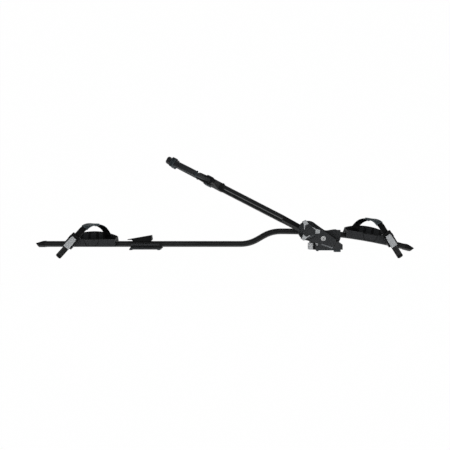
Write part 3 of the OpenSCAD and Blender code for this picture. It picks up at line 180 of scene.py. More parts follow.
soft_box("table_light", (-0.4, -0.6, -0.42), (-0.4, -0.5, 0.1), 2.6, 0.8, 1.9)
soft_box("front_light", (-0.4, -1.5, -0.42), (-0.4, -1.4, 0.1), 2.6, 1.0, 0.8)
soft_box("under_light", (-0.4, 0.1, -0.42), (-0.4, 0.1, 0.1), 2.6, 0.6, 1.2)
soft_box("left_light", (-2.6, -2.0, 0.4), (-0.5, 0.0, 0.05), 1.2, 1.4, 0.4)
soft_box("right_light", (1.9, -2.0, 0.4), (-0.2, 0.0, 0.05), 1.2, 1.4, 0.4)
soft_box("high_light", (-0.4, -0.3, 2.6), (-0.4, 0.0, 0.1), 2.0, 1.4, 0.12)
soft_box("back_light", (-0.4, 1.5, 1.7), (-0.4, 0.0, 0.1), 2.4, 1.2, 2.0)
soft_box("back_table_light", (-0.4, 0.8, -0.42), (-0.4, 0.7, 0.1), 2.6, 0.6, 1.2)
soft_box("left_back_light", (-2.7, 1.3, 0.4), (-0.5, 0.0, 0.05), 1.2, 1.4, 1.4)
soft_box("right_back_light", (2.0, 1.3, 0.4), (-0.2, 0.0, 0.05), 1.2, 1.4, 1.4)

# %% [markdown]
# Black plastic: feet, trays, knob and claw are moulded from glass filled nylon, with a fine spark-eroded
# grain from the tool. The grain breaks up the gloss, so the faces read as dark grey rather than black.
# A real grain of 0.1 mm is far below one pixel, so it is drawn at about 1 mm, just coarse enough to show.

# %% Plastics
MM = 0.001
GRAIN_DETAIL, PATCH_DETAIL = 3.0, 4.0
PATCH_RANGE = (0.35, 0.65)


def grain(tree, size_mm, depth_mm, stretch):
    """Bump from noise whose grains are size_mm across; stretch divides the scale along each axis."""
    coords = add(tree, "TexCoord").outputs["Object"]
    turned = add(tree, "Mapping", {"Vector": coords, "Scale": tuple(1.0 / s for s in stretch)})
    noise = add(tree, "TexNoise", {
        "Vector": turned.outputs[0], "Scale": 1.0 / (size_mm * MM), "Detail": GRAIN_DETAIL})
    return add(tree, "Bump", {"Height": noise.outputs[0], "Strength": 1.0, "Distance": depth_mm * MM})


def varied(tree, dark, light, size_mm):
    """A colour that wanders between two hex values in soft patches size_mm across."""
    coords = add(tree, "TexCoord").outputs["Object"]
    noise = add(tree, "TexNoise", {
        "Vector": coords, "Scale": 1.0 / (size_mm * MM), "Detail": PATCH_DETAIL})
    ramp = add(tree, "ValToRGB", {0: noise.outputs[0]})
    for element, place, code in zip(ramp.color_ramp.elements, PATCH_RANGE, (dark, light)):
        element.position = place
        element.color = linear(code)
    return ramp, noise


def finish(name, dark, light, rough, size_mm, depth_mm, stretch=(1, 1, 1), patch_mm=34.0, **sockets):
    """A finish: colour wandering in patches, grain bump, roughness that follows the patches."""
    material, tree, out = blank(name)
    colour, patches = varied(tree, dark, light, patch_mm)
    gloss = add(tree, "MapRange", {0: patches.outputs[0], 1: 0.3, 2: 0.7, 3: rough - 0.05, 4: rough + 0.06})
    shader = add(tree, "BsdfPrincipled", {
        "Base Color": colour.outputs[0], "Roughness": gloss.outputs[0],
        "Normal": grain(tree, size_mm, depth_mm, stretch).outputs[0], **sockets})
    tree.links.new(shader.outputs[0], out.inputs["Surface"])
    return material


# Nylon with 30 % glass: dark grey with a soft sheen
plastic = finish("glass_filled_nylon_moulded_grain", "#212427", "#26282b", 0.52, 1.1, 0.02, IOR=1.5)
# The same nylon from a smoother tool: blacker, with sharper lights
plastic_dark = finish(
    "glass_filled_nylon_moulded_satin",
    "#0b0c0d", "#0f1011", 0.21, 1.1, 0.006, IOR=1.45)
# The same nylon in a paler tone, put on shaded faces as painted light so that they read lighter than their
# shade
plastic_painted_light = finish(
    "glass_filled_nylon_painted_light",
    "#44474a", "#4c4f52", 0.60, 1.1, 0.02, IOR=1.5)
# The same nylon in a much paler tone: a painted highlight along the cover's lower bevel, where light from
# below catches it
plastic_painted_highlight = finish("glass_filled_nylon_painted_highlight", "#585b5e", "#626568", 0.55, 1.1, 0.02, IOR=1.5)
# Tray plastic: the same grain on a slightly blacker compound
tray_plastic = finish(
    "polypropylene_tray_moulded_grain",
    "#1c1e21", "#212326", 0.50, 1.1, 0.02, IOR=1.5)
# Flexible strap plastic: smooth, nearly black, slightly oily gloss
strap_plastic = finish(
    "polyurethane_strap_moulded_smooth",
    "#0a0b0c", "#0d0e0f", 0.2, 2.0, 0.006, IOR=1.4)
# Rubber: bluish black, matt, with a faint bloom in patches
rubber = finish(
    "synthetic_rubber_moulded_matt",
    "#222c31", "#2b363b", 0.62, 1.4, 0.03, patch_mm=12.0, IOR=1.52)
# Sleeve rubber: the same compound with more bloom, so a paler blue grey
sleeve_rubber = finish(
    "synthetic_rubber_sleeve_moulded_matt",
    "#3f4a4f", "#485459", 0.66, 1.4, 0.03, patch_mm=12.0, IOR=1.5)
# Bushes: natural acetal, the colour of bone
bush = finish("acetal_bush_natural", "#d0cdc4", "#dad7ce", 0.4, 1.0, 0.02, IOR=1.48)
print("nine plastics")

# %% [markdown]
# Metal and lacquer: the rail is an extrusion with faint lines along its length under black anodising,
# the arm tube is powder coated, the small fittings are zinc or nickel plated, and the silver marks and
# release pads are lacquered plastic. The lines are drawn 1.2 mm apart, coarser than the real ones.

# %% Metals and lacquer
# Anodised film over the drawn lines: a broad, soft light along the rail
anodised = finish(
    "aluminium_black_anodised_extruded",
    "#0e1011", "#131415", 0.38, 1.2, 0.02, (60, 1, 1), 60.0, IOR=1.45)
# Powder coat: slight orange peel and a clear stripe of light along the tube
powder = finish(
    "aluminium_tube_black_powder_coat",
    "#121416", "#17191b", 0.24, 2.2, 0.008, IOR=1.5, **{"Coat Weight": 0.6, "Coat Roughness": 0.12})
# Silver lacquer on plastic: fine flakes, even and pale
silver = finish("abs_silver_lacquer", "#b4b7b9", "#bcbfc1", 0.36, 3.0, 0.002, IOR=1.5)
# Zinc plate: cool grey with a soft crystalline play
steel = finish("steel_zinc_plated", "#9a9da0", "#b2b5b7", 0.34, 1.0, 0.03, Metallic=1.0)
# Nickel plate on the lock: warmer and brighter
nickel = finish("lock_metal_nickel_plated", "#c4c5c5", "#d2d3d3", 0.55, 1.0, 0.005, Metallic=0.5)
# Tumbled aluminium of the clamp plate: pale and nearly matt
tumbled = finish("aluminium_clamp_plate_tumbled", "#c6c8ca", "#d4d6d8", 0.45, 1.5, 0.05, Metallic=0.6)
print("six metals and coats")

# %% [markdown]
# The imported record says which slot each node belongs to. The claw's shells, the hub, the lever, the buckles
# and the end caps come from a smoother tool than the big faces, so they take the satin version of the
# nylon, and the trays and latches have a compound of their own.

# %% Give each hard node its finish
finish_of = {
    "anodised_rail": anodised, "tube_paint": powder, "black_moulding": plastic,
    "strap_plastic": strap_plastic, "rubber": rubber, "silver_plastic": silver, "bright_steel": steel,
    "lock_metal": nickel, "clamp_metal": tumbled, "bush_plastic": bush,
}
satin = {
    "upper_head_shell", "lower_head_shell", "arm_hub", "rear_lever", "rear_buckle", "front_buckle",
    "rear_end_cap", "front_end_cap",
}
trays = {"rear_tray", "front_tray", "rear_latch", "front_latch"}
for part in frame["record"]["subparts"]:
    mesh = nodes[part["node"]].data
    mesh.materials.clear()
    special = plastic_dark if part["node"] in satin else tray_plastic if part["node"] in trays else None
    mesh.materials.append(special or finish_of[part["material_slot"]])
print("finishes given to", len(nodes), "nodes,", len(satin), "of them satin")

# %% [markdown]
# Some faces of the mouldings get another tone that paints light and shade onto them. The rim of each latch
# window and the cover's upper bevel take the black satin nylon as painted shade, so they read as dark lines.
# The cup round the knob and the inner faces of the high walls take a paler tone as painted light, so they
# read lighter than their shade, and the cover's lower bevel takes a much paler tone as a painted highlight.
# Faces are picked by where they lie and where they look.

# %% Faces with painted light and shade
CUP_Y = (-64.5, -62.5)
LOWER_EDGE_Z = 30.0
FAR_WALL_Y = (20.0, 36.5)
RIM_Y = -40.4
SQUARE = -0.9
SLANTED = -0.5
LOOKS_NEAR, LOOKS_UP, LOOKS_RIGHT = -0.7, 0.2, 0.4


def repaint(node, material, chosen):
    """Gives the faces of a node for which chosen(middles in mm, normals) holds another finish."""
    mesh = nodes[node].data
    middles, normals = np.empty((2, len(mesh.polygons) * 3))
    mesh.polygons.foreach_get("center", middles)
    mesh.polygons.foreach_get("normal", normals)
    slots = np.empty(len(mesh.polygons), dtype=np.int32)
    mesh.polygons.foreach_get("material_index", slots)
    picked = chosen(middles.reshape(-1, 3) / MM, normals.reshape(-1, 3))
    mesh.materials.append(material)
    mesh.polygons.foreach_set("material_index", np.where(picked, len(mesh.materials) - 1, slots))
    print(material.name, "on", int(picked.sum()), "faces of", node)


def painted_light_cup_floor(p, n):
    """The floor of the cup round the knob, which lies behind the cover's face; it gets painted light against
    the shade of the knob and ring.
    """
    return (p[:, 1] > CUP_Y[0]) & (p[:, 1] < CUP_Y[1]) & (n[:, 1] < SQUARE)


def painted_highlight_lower_bevel(p, n):
    """The bevel along the cover's lower edge, from its waist to its toe, which gets the painted highlight."""
    return (n[:, 1] < SLANTED) & (n[:, 2] < SLANTED) & (p[:, 2] < LOWER_EDGE_Z)


def painted_shade_upper_bevel(p, n):
    """The bevel along the cover's upper edge and round its nose, which gets the black satin nylon as painted
    shade.
    """
    return (n[:, 1] < SLANTED) & (n[:, 1] > SQUARE) & ((n[:, 2] > LOOKS_UP) | (n[:, 0] > LOOKS_RIGHT))


def painted_light_far_face(p, n):
    """The near side of the high far wall, but not the floors of its pockets; it gets painted light against
    the shade of the near wall.
    """
    return (p[:, 1] > FAR_WALL_Y[0]) & (p[:, 1] < FAR_WALL_Y[1]) & (n[:, 1] < LOOKS_NEAR)


def painted_shade_latch_rim(p, n):
    """The step round the latch's window, 1.6 mm behind the near wall's face, which gets the black satin nylon
    as painted shade.
    """
    return (np.abs(p[:, 1] - RIM_Y) < 0.1) & (n[:, 1] < SQUARE)


# Painted light on the cup floor, a painted highlight on the lower bevel and painted shade on the upper bevel
repaint("base_cover", plastic_painted_light, painted_light_cup_floor)
repaint("base_cover", plastic_painted_highlight, painted_highlight_lower_bevel)
repaint("base_cover", plastic_dark, painted_shade_upper_bevel)
# Painted light on the far walls' faces and painted shade on the latch windows' rims
for key in ("rear", "front"):
    repaint(key + "_tray", plastic_painted_light, painted_light_far_face)
    repaint(key + "_tray", plastic_dark, painted_shade_latch_rim)

# %% [markdown]
# Moulded edges are never sharp. A narrow bevel, cut by a modifier after the doubled corners of the packed
# mesh are welded, rounds the knob's edge, and that bevel takes the black satin nylon as painted shade, which
# draws the knob's dark outline. The head, the lever and the buckles get the small soft edges that come from
# the tool.

# %% Rounded edges
def soften(node, width_mm, material=None):
    """Weld, then bevel every edge sharper than 40 degrees; the bevel may take a finish of its own."""
    piece = nodes[node]
    weld = piece.modifiers.new("weld", "WELD")
    weld.merge_threshold = 1e-5
    bevel = piece.modifiers.new("bevel", "BEVEL")
    bevel.width = width_mm * MM
    bevel.segments = 2
    bevel.limit_method = "ANGLE"
    bevel.angle_limit = math.radians(40.0)
    bevel.use_clamp_overlap = True
    if material:
        piece.data.materials.append(material)
        bevel.material = len(piece.data.materials) - 1


soft_edged = ("lower_head_shell", "upper_head_shell", "rear_lever", "rear_buckle", "front_buckle")
# The knob's bevel takes the black satin nylon as painted shade: a dark outline round the knob
soften("knob", 3.0, plastic_dark)
for node in soft_edged:
    soften(node, 0.6)
print("edges rounded on", 1 + len(soft_edged), "nodes")

# %% [markdown]
# The soft pieces are worked out in the same local frames as the model: each wheel holder has x towards
# the arm, y across the rail and z above the rail's axis, and the claw is drawn along the arm. A frame is
# one matrix in millimetres, and every surface goes through it into metres at the end.

# %% Frames and surfaces
BOW_X, BOW_Z, BOW_R = -165.0, 71.35 - 1800.0, 1800.0
REAR_PLACE, FRONT_DEG = (-900.0, 0.0, 22.8), 10.15
HUB_PLACE, ARM_DEG = (-84.5, -46.5, 74.4), 27.5
LEAN_DEG, TUBE_DROP = -4.9, -4.3
rear_frame = Matrix.Translation(REAR_PLACE)
front_frame = (Matrix.Translation((BOW_X, 0.0, BOW_Z)) @ Matrix.Rotation(math.radians(FRONT_DEG), 4, "Y")
               @ Matrix.Translation((0.0, 0.0, BOW_R)) @ Matrix.Diagonal((-1.0, 1.0, 1.0, 1.0)))
hub_frame = (Matrix.Translation(HUB_PLACE) @ Matrix.Rotation(math.radians(ARM_DEG), 4, "Y")
             @ Matrix.Rotation(math.pi, 4, "Z"))
arm_frame = (hub_frame @ Matrix.Rotation(math.radians(LEAN_DEG), 4, "Z")
             @ Matrix.Translation((0.0, 0.0, TUBE_DROP)))
plain_frame = Matrix.Identity(4)
holders = (("rear", rear_frame), ("front", front_frame))
SHARP_DEG = 38.0


def unit(v):
    """Vectors of length one along the last axis."""
    return v / np.linalg.norm(v, axis=-1, keepdims=True)


def quads(shape, start):
    """Corner numbers of the faces between neighbouring grid points of a (rows, columns) sheet."""
    at = start + np.arange(shape[0] * shape[1]).reshape(shape)
    return np.stack([at[:-1, :-1], at[1:, :-1], at[1:, 1:], at[:-1, 1:]], axis=-1).reshape(-1, 4)


def settle(name, spots, faces, body, node, material, merge):
    """Makes the piece from points in metres: faces outwards, smooth but for sharp edges, on its body.

    With merge, doubled points become one, so seams and poles close.
    """
    mesh = bpy.data.meshes.new(name)
    mesh.from_pydata(spots.tolist(), [], faces.tolist())
    work = bmesh.new()
    work.from_mesh(mesh)
    if merge:
        bmesh.ops.remove_doubles(work, verts=work.verts, dist=2e-6)
        bmesh.ops.dissolve_degenerate(work, edges=work.edges, dist=1e-7)
    bmesh.ops.recalc_face_normals(work, faces=work.faces)
    work.to_mesh(mesh)
    work.free()
    mesh.polygons.foreach_set("use_smooth", np.ones(len(mesh.polygons), dtype=bool))
    mesh.set_sharp_from_angle(angle=math.radians(SHARP_DEG))
    mesh.materials.append(material)
    piece = bpy.data.objects.new(name, mesh)
    scene.collection.objects.link(piece)
    if node:
        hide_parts(node)
    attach(piece, body)
    print(name, len(mesh.vertices), "points")


def surface(name, sheets, place, body, node, material):
    """One piece from grids of points in mm, carried by a frame into metres."""
    spots = np.concatenate([s.reshape(-1, 3) for s in sheets])
    starts = np.cumsum([0] + [s.shape[0] * s.shape[1] for s in sheets[:-1]])
    faces = np.concatenate([quads(s.shape[:2], n) for s, n in zip(sheets, starts)])
    m = np.array(place)
    settle(name, (spots @ m[:3, :3].T + m[:3, 3]) * MM, faces, body, node, material, True)


def closed(body):
    """Closes a carried section: the first and last rows are drawn together to their middles."""
    ends = [np.repeat(body[k:k + 1].mean(axis=1, keepdims=True), body.shape[1], axis=1) for k in (0, -1)]
    return np.concatenate([ends[0], body, ends[1]])


def rounded(turn=5, across=8, up=2):
    """Closed rounded rectangle as four arrays: run x, run y (-1 to 1) and arc x, arc y (unit circle).

    A point is (run * (half size - r) + arc * r): quarter arcs at the corners, straight runs between them.
    """
    a = np.linspace(0.0, np.pi / 2, turn)
    arcs = [(sx, sy, np.cos(a + k * np.pi / 2), np.sin(a + k * np.pi / 2))
            for k, (sx, sy) in enumerate(((1, 1), (-1, 1), (-1, -1), (1, -1)))]
    wide = np.linspace(1.0, -1.0, across + 2)[1:-1]
    tall = np.linspace(1.0, -1.0, up + 2)[1:-1]
    runs = [(wide, 1.0, 0.0, 1.0), (-1.0, tall, -1.0, 0.0), (-wide, -1.0, 0.0, -1.0), (1.0, -tall, 1.0, 0.0)]
    parts = [part for pair in zip(arcs, runs) for part in pair] + [(1.0, 1.0, 1.0, 0.0)]
    spread = [np.broadcast_arrays(*map(np.atleast_1d, part)) for part in parts]
    return [np.concatenate(column) for column in zip(*spread)]


def section(w, h, r, shape):
    """The rounded rectangle at width w, height h and corner radius r, each one value per row."""
    run_x, run_y, arc_x, arc_y = shape
    w, h, r = (np.atleast_1d(np.asarray(v, dtype=float))[:, None] for v in (w, h, r))
    return run_x * (w / 2 - r) + arc_x * r, run_y * (h / 2 - r) + arc_y * r


def smooth(x):
    """0 below 0, 1 above 1, and 3 x squared minus 2 x cubed between."""
    x = np.clip(x, 0.0, 1.0)
    return x * x * (3.0 - 2.0 * x)


print("arm frame at", tuple(round(v, 1) for v in arm_frame.translation))

# %% [markdown]
# The wheel straps: one flexible moulding each, anchored by a bead under the tray's far side, arching over
# the tyre and coming down through the buckle to a free tail. The route is a smooth curve through a few
# points. The real strap has raised rims and a ladder of small teeth that the buckle's pawl bites into.

# %% Straps
STRAP_W, STRAP_T, ROOT_W = 22.5, 3.0, 30.0
ANCHOR = np.array([51.0, 30.7, 4.0])
LEG = math.radians(48.0)
TAIL = 74.0
TOP = 75.0
ROOT_U, LEG_U, TIP_U = 1.22, 8.0, 10.0
TOOTH_STEP, TOOTH_D = 5.0, 0.8
SIDE_RIM, TIP_R = 2.0, 5.0
leg_way = np.array([math.cos(LEG), 0.0, math.sin(LEG)])
leg_mid = np.array([-74.3, -52.0, 6.7])


def on_leg(distance):
    """Point on the straight near leg, counted up from the buckle's middle."""
    return leg_mid + distance * leg_way


route = np.array([
    ANCHOR - [0, 0, 16], ANCHOR, ANCHOR + [0, 0.5, 22], [43, 27, 48], [29, 18, TOP - 10], [5, -4, TOP],
    [-14, -31, TOP - 4], on_leg(68) + [0, 2, 0], on_leg(46), on_leg(0), on_leg(-TAIL), on_leg(-TAIL - 30)])
looks = np.array([
    [0, 1, 0], [0, 1, 0], [0, 1, 0], [0, 1, 0.3], [0, 0.6, 0.8], [0, 0, 1], [0, -0.6, 0.8],
    [0, -1, 0.1], [0, -1, 0], [0, -1, 0], [0, -1, 0], [0, -1, 0]])
widths = np.array([ROOT_W, ROOT_W, 0.9 * ROOT_W] + [STRAP_W] * 9)[:, None]


def spline(knots, u):
    """Catmull-Rom curve: between knots i and i + 1 a cubic that leaves along the line of its neighbours."""
    i = np.clip(np.floor(u).astype(int), 1, len(knots) - 3)
    t = (u - i)[:, None]
    a, b, c, d = knots[i - 1], knots[i], knots[i + 1], knots[i + 2]
    square = 2 * a - 5 * b + 4 * c - d
    cube = 3 * b - a - 3 * c + d
    return 0.5 * (2 * b + (c - a) * t + square * t ** 2 + cube * t ** 3)


def strap_axes(u):
    """Middle, sideways and outward directions of the strap: side = along x look, outward = side x along."""
    ahead = unit(spline(route, u + 0.01) - spline(route, u - 0.01))
    side = unit(np.cross(ahead, spline(looks, u)))
    return spline(route, u), side, np.cross(side, ahead)


def carry(middle, side, outward, x, y):
    """Carries a section along a path: middle + x * side + y * outward, for every row and column."""
    return middle[:, None] + x[..., None] * side[:, None] + y[..., None] * outward[:, None]


def strap_sheet():
    """Section of the strap along its route; teeth of 5 mm pitch between the rims, and a round tip."""
    u = np.concatenate([np.linspace(ROOT_U, LEG_U, 190), np.linspace(LEG_U, TIP_U, 300)[1:]])
    middle, side, outward = strap_axes(u)
    up_leg = (middle - leg_mid) @ leg_way
    to_tip = np.where(u > LEG_U, up_leg + TAIL, 99.0)
    tip = np.sqrt(1.0 - (1.0 - np.clip(to_tip / TIP_R, 0.0, 1.0)) ** 2)
    wide = spline(widths, u)[:, 0] * (0.35 + 0.65 * tip)
    thick = STRAP_T * np.where(to_tip < 3.0, 0.55 + 0.15 * np.clip(to_tip, 0, 3), 1.0)
    shape = rounded(turn=4, across=14, up=1)
    x, y = section(wide, thick, np.minimum(0.9, 0.4 * wide), shape)
    between_rims = smooth((wide[:, None] / 2 - SIDE_RIM - np.abs(x)) / 0.8)
    on_ladder = (smooth((up_leg - 8 + TAIL) / 4) * smooth((34 - up_leg) / 4) * (u > 7.5))[:, None]
    tooth = TOOTH_D * ((up_leg / TOOTH_STEP) % 1.0)[:, None]
    sunk = between_rims * (0.5 + on_ladder * (0.35 - tooth + 0.4))
    y = np.where(y > 0.9, y - np.clip(sunk, 0.0, 1.0), y)
    return closed(carry(middle, side, outward, x, y))


def bead_sheet():
    """Bead round the anchor pin: a ring section (bore to outside) turned about the x axis."""
    shape = rounded(turn=5, across=6, up=1)
    x, r = section(ROOT_W, 2.8, 1.2, shape)
    turn = np.linspace(0.0, 2 * np.pi, 41)[:, None]
    r = 3.6 + r
    ring = [ANCHOR[0] + x + 0 * turn, ANCHOR[1] + r * np.cos(turn), ANCHOR[2] + r * np.sin(turn)]
    return np.stack(ring, axis=-1)


for key, place in holders:
    surface(key + "_wheel_strap", [strap_sheet(), bead_sheet()], place, key + "_holder", key + "_strap",
            strap_plastic)

# %% [markdown]
# The rim pads: rubber sleeves that slide on the straps and keep them off the wheel's rim. A sleeve is one
# closed skin: out along the outside, round the end lip, back along the slot, so a loop of sections that
# runs both ways round. Low cross ribs give it grip, and its ends flare a little.

# %% Rim pads
SLOT_W, SLOT_T = 23.1, 3.6
SLEEVE_U, SLEEVE_RIBS = (4.6, 6.7), 9


def sleeve_sheet(u0, u1):
    """Loop of sections: outer ones from u0 to u1, then inner ones back; sine ribs on the outside."""
    count = 90
    run = np.linspace(0.0, 1.0, count)
    u = np.concatenate([u0 + (u1 - u0) * run, u1 - (u1 - u0) * run, [u0]])
    outer = np.concatenate([np.ones(count), np.zeros(count), [1.0]])
    share = np.concatenate([run, 1.0 - run, [0.0]])
    flare = 0.5 * (smooth((0.08 - share) / 0.08) + smooth((share - 0.92) / 0.08))
    rib = 0.22 * np.sin(share * 2 * np.pi * SLEEVE_RIBS)
    rib = rib * smooth((share - 0.1) / 0.05) * smooth((0.9 - share) / 0.05)
    end = np.sqrt(np.clip(np.minimum(share, 1.0 - share) / 0.02, 0.25, 1.0))
    wide = np.where(outer > 0, SLOT_W + 3.9 * end + 1.5 * flare, SLOT_W)
    thick = np.where(outer > 0, SLOT_T + 3.7 * end + 1.5 * flare + rib, SLOT_T)
    x, y = section(wide, thick, np.where(outer > 0, 2.4 * end, 0.8), rounded(turn=6, across=8, up=2))
    return carry(*strap_axes(u), x, y)


for key, place in holders:
    surface(key + "_rim_sleeve", [sleeve_sheet(*SLEEVE_U)], place, key + "_holder", key + "_rim_pad",
            sleeve_rubber)

# %% [markdown]
# The jaws' rubber: near each tip a fat collar, at the root a seam band, and between them a ribbed pad on the
# side that touches the bicycle's frame. All of it follows the finger's arc, so a section is carried round
# the arc's centre; angles are counted there as they are in the model.

# %% Jaw boots
ARC_S, ARC_Y, ARC_R = 497.0, 42.0 - 156.0, 156.0
FINGER_T, FINGER_H = 14.0, 23.0
COLLAR_DEG, GRIP_DEG, SEAM_DEG = (59.2, 66.2), (66.0, 99.7), (99.64, 101.44)
GRIP_RIBS = 16


def on_arc(degrees, out, up, hand):
    """Points beside the finger's arc: out from the arc's centre and up, mirrored across for the far jaw."""
    a = np.radians(degrees)[:, None]
    radius = ARC_R + out
    return np.stack([ARC_S + radius * np.cos(a), hand * (ARC_Y + radius * np.sin(a)), up + 0 * a], axis=-1)


def band_sheet(a0, a1, wide, tall, bulge, hand):
    """Sleeve on the finger from angle a0 to a1: outside swells by bulge in the middle, then back inside."""
    count = 24
    run = np.linspace(0.0, 1.0, count)
    degrees = np.concatenate([a0 + (a1 - a0) * run, a1 - (a1 - a0) * run, [a0]])
    share = np.concatenate([run, 1.0 - run, [0.0]])
    outer = np.concatenate([np.ones(count), np.zeros(count), [1.0]])
    swell = np.sqrt(np.clip(np.minimum(share, 1.0 - share) / 0.18, 0.12, 1.0))
    swell = swell - bulge * np.cos(share * 4 * np.pi) * 0.1
    w = np.where(outer > 0, FINGER_T + 0.2 + (wide - FINGER_T) * swell, FINGER_T + 0.2)
    h = np.where(outer > 0, FINGER_H + 0.2 + (tall - FINGER_H) * swell, FINGER_H + 0.2)
    out, up = section(w, h, 5.0, rounded(turn=7, across=6, up=8))
    return on_arc(degrees, out, up, hand)


def grip_sheet(a0, a1, hand):
    """Pad inside the finger: rounded section, inner face ribbed along the arc, ends drawn to points."""
    run = np.linspace(0.0, 1.0, 160)
    degrees = a0 + (a1 - a0) * run
    end = np.sqrt(np.clip(np.minimum(run, 1.0 - run) / 0.03, 0.02, 1.0))
    out, up = section(5.6 * end, 20.0 * (0.6 + 0.4 * end), 1.8 * end, rounded(turn=5, across=4, up=10))
    rib = 0.5 * (0.5 + 0.5 * np.cos(run * 2 * np.pi * GRIP_RIBS))[:, None]
    out = np.where(out < -1.0, out + rib, out) - FINGER_T / 2 - 3.0
    return closed(on_arc(degrees, out, up, hand))


for key, hand in (("near", 1.0), ("far", -1.0)):
    parts = [band_sheet(*COLLAR_DEG, 22.0, 36.0, 0.8, hand), band_sheet(*SEAM_DEG, 18.0, 27.0, 0.0, hand),
             grip_sheet(*GRIP_DEG, hand)]
    surface(key + "_jaw_rubber", parts, arm_frame, key + "_jaw", key + "_jaw_boot", rubber)

# %% [markdown]
# Four rubber caps close the jaw pins above and below the claw. Each is a low dome turned about its pin,
# with a scalloped rim to grip when it is pulled off, and a shallow dish in the middle.

# %% Pivot caps
PIVOT_S, PIVOT_Y, CAP_SEAT = 417.0, 22.0, 13.6
SCALLOPS = 20


def cap_sheet(s, y, hand):
    """Turned profile (radius, height): seat, rim with 20 scallops, dome, dish; hand: above or below."""
    radius = np.array([0.0, 14.2, 14.8, 15.0, 15.0, 14.7, 13.9, 12.4, 9.0, 6.0, 3.0, 0.0])
    height = np.array([0.0, 0.0, 0.3, 0.9, 2.6, 3.5, 4.2, 4.75, 5.0, 4.9, 4.6, 4.5])
    turn = np.linspace(0.0, 2 * np.pi, 161)[:, None]
    edge = smooth((radius - 13.0) / 2.0)
    r = radius * (1.0 - 0.014 * edge * (0.5 + 0.5 * np.cos(SCALLOPS * turn)))
    z = hand * (CAP_SEAT + height) + 0 * turn
    return np.stack([s + r * np.cos(turn), y + r * np.sin(turn), z], axis=-1)


caps = [cap_sheet(PIVOT_S, y, hand) for y in (PIVOT_Y, -PIVOT_Y) for hand in (1.0, -1.0)]
surface("pivot_rubber_caps", caps, arm_frame, "arm", "pivot_caps", rubber)

# %% [markdown]
# Rubber under the front foot: a ribbed mat with a lip that hooks over the roof bar, a small heel behind, and
# two holes for the bolts. It is a height map over x and y, with the faces inside each hole left out and a
# wall round every edge.

# %% Front bar mat
PAD_X, PAD_Y, PAD_T = (-50.0, 39.0), (-55.0, 46.0), 3.0
LIP_X, LIP_Y, LIP_D = 17.0, -25.0, 6.0
HEEL_X, HEEL_D = -43.0, 3.0
BOLT_Y, HOLE_R = 41.0, 6.25
RIB_STEP = 7.0


def pad_sheets():
    """Flat top; underside = lip and heel plus ribs, its rim lifted into a bevel; and a mask of faces."""
    x = np.unique(np.concatenate([np.arange(PAD_X[0], PAD_X[1] + 0.1, 1.0), [LIP_X - 0.05, LIP_X + 0.4]]))
    y = np.unique(np.concatenate([np.arange(PAD_Y[0], PAD_Y[1] + 0.1, 1.0), [LIP_Y - 0.4, LIP_Y + 0.05]]))
    gx, gy = np.meshgrid(x, y, indexing="ij")
    hole = np.minimum(np.hypot(gx, gy - BOLT_Y), np.hypot(gx, gy + BOLT_Y))
    near = np.where(np.abs(gy - BOLT_Y) < np.abs(gy + BOLT_Y), BOLT_Y, -BOLT_Y)
    pull = np.where(np.abs(hole - HOLE_R) < 0.75, HOLE_R / np.maximum(hole, 1e-6), 1.0)
    gx, gy = gx * pull, near + (gy - near) * pull
    rim = np.minimum.reduce([gx - PAD_X[0], PAD_X[1] - gx, gy - PAD_Y[0], PAD_Y[1] - gy])
    low = np.where((gx > LIP_X) & (gy < LIP_Y), -LIP_D, 0.0)
    low = low - HEEL_D * smooth((HEEL_X - gx) / 2.0) * (gy < LIP_Y)
    rib = 0.9 * smooth((np.sin(gx * 2 * np.pi / RIB_STEP) - 0.2) / 0.5)
    rib = rib * smooth((rim - 2.0) / 1.0) * smooth((hole - 8.0) / 1.0)
    under = low + rib + 0.8 * smooth((1.0 - rim) / 1.0)
    keep = (hole[:-1, :-1] + hole[1:, :-1] + hole[1:, 1:] + hole[:-1, 1:]) / 4 > 6.2
    return np.stack([gx, gy, under], axis=-1), np.stack([gx, gy, 0 * gx + PAD_T], axis=-1), keep.ravel()


def walled(name, bottom, top, keep, body, node, slot, material):
    """Bottom and top sheets with the same faces left out; every edge used once gets a wall between them."""
    count = bottom.shape[0] * bottom.shape[1]
    low = quads(bottom.shape[:2], 0)[keep]
    edges = np.concatenate([low[:, [k, (k + 1) % 4]] for k in range(4)])
    _, which, uses = np.unique(np.sort(edges, axis=1), axis=0, return_index=True, return_counts=True)
    rim = edges[which[uses == 1]]
    walls = np.stack([rim[:, 0], rim[:, 1], rim[:, 1] + count, rim[:, 0] + count], axis=1)
    faces = np.concatenate([low, low[:, ::-1] + count, walls])
    used, faces = np.unique(faces, return_inverse=True)
    spots = np.concatenate([bottom.reshape(-1, 3), top.reshape(-1, 3)])[used] * MM
    settle(name, spots, faces.reshape(-1, 4), body, node, material, False)


walled("front_bar_mat", *pad_sheets(), "carrier", "base_bar_pad", "rubber", rubber)
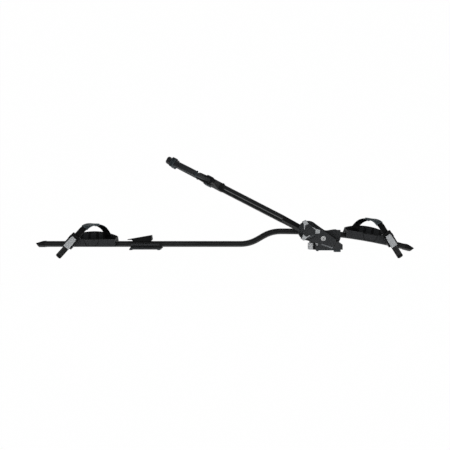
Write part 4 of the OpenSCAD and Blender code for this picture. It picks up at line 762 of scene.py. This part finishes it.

# %% [markdown]
# Between the casing and the pale clamp plate lies a gap in deep shade. A flat strip of the straps' smooth
# black polyurethane is laid over it on the casing's rear corner as a painted shadow: a rounded section
# carried straight up, with its ends drawn in.

# %% Painted shadow strip
EDGE_X, EDGE_Y = -60.6, -60.8
EDGE_W, EDGE_T = 8.4, 2.0
EDGE_Z, EDGE_LEN = 4.0, 24.5


def painted_shadow_strip_sheet():
    """Rounded section 8.4 by 2 carried along z; towards each end it narrows as the root of the distance."""
    run = np.linspace(0.0, 1.0, 40)
    end = np.sqrt(np.clip(np.minimum(run, 1.0 - run) / 0.05, 0.02, 1.0))
    x, y = section(EDGE_W * (0.7 + 0.3 * end), EDGE_T * end, 0.9 * end, rounded(turn=5, across=4, up=1))
    z = EDGE_Z + EDGE_LEN * run[:, None] + 0 * x
    return closed(np.stack([EDGE_X + x, EDGE_Y + y, z], axis=-1))


# A black strip standing in for the shadow in the gap between casing and clamp plate: painted shadow
surface("casing_painted_shadow_strip", [painted_shadow_strip_sheet()], plain_frame, "carrier", None, strap_plastic)

# %% [markdown]
# The rear foot stands on two round rubber beads, pushed into grooves across its sole. Three fine grooves
# along each belly let it flatten on the roof bar.

# %% Rear bar beads
BEAD_W, BEAD_T, BEAD_HALF_Y = 10.0, 5.0, 36.0
BEAD_X = (-753.0, -647.0)
GROOVE_STEP, GROOVE_D = 2.6, 0.45


def strip_sheet(x0):
    """Bar bead: section 10 wide and 5 high, carried along y; three grooves below, ends rounded."""
    run = np.linspace(-1.0, 1.0, 80)
    end = np.sqrt(np.clip((1.0 - np.abs(run)) / 0.06, 0.0, 1.0))
    end = np.maximum(end, 0.02)
    shape = rounded(turn=8, across=12, up=1)
    x, z = section(BEAD_W - 3.0 * (1 - end), BEAD_T * (0.5 + 0.5 * end), 2.2 * end, shape)
    groove = GROOVE_D * smooth((np.cos(x * 2 * np.pi / GROOVE_STEP) - 0.55) / 0.35) * (np.abs(x) < 3.5)
    z = np.where(z < -1.5, z + groove, z)
    y = BEAD_HALF_Y * run[:, None] + 0 * x
    return closed(np.stack([x0 + x, y, BEAD_T / 2 + z], axis=-1))


beads = [strip_sheet(x0) for x0 in BEAD_X]
surface("rear_bar_beads", beads, plain_frame, "rear_foot", "rear_bar_strips", rubber)
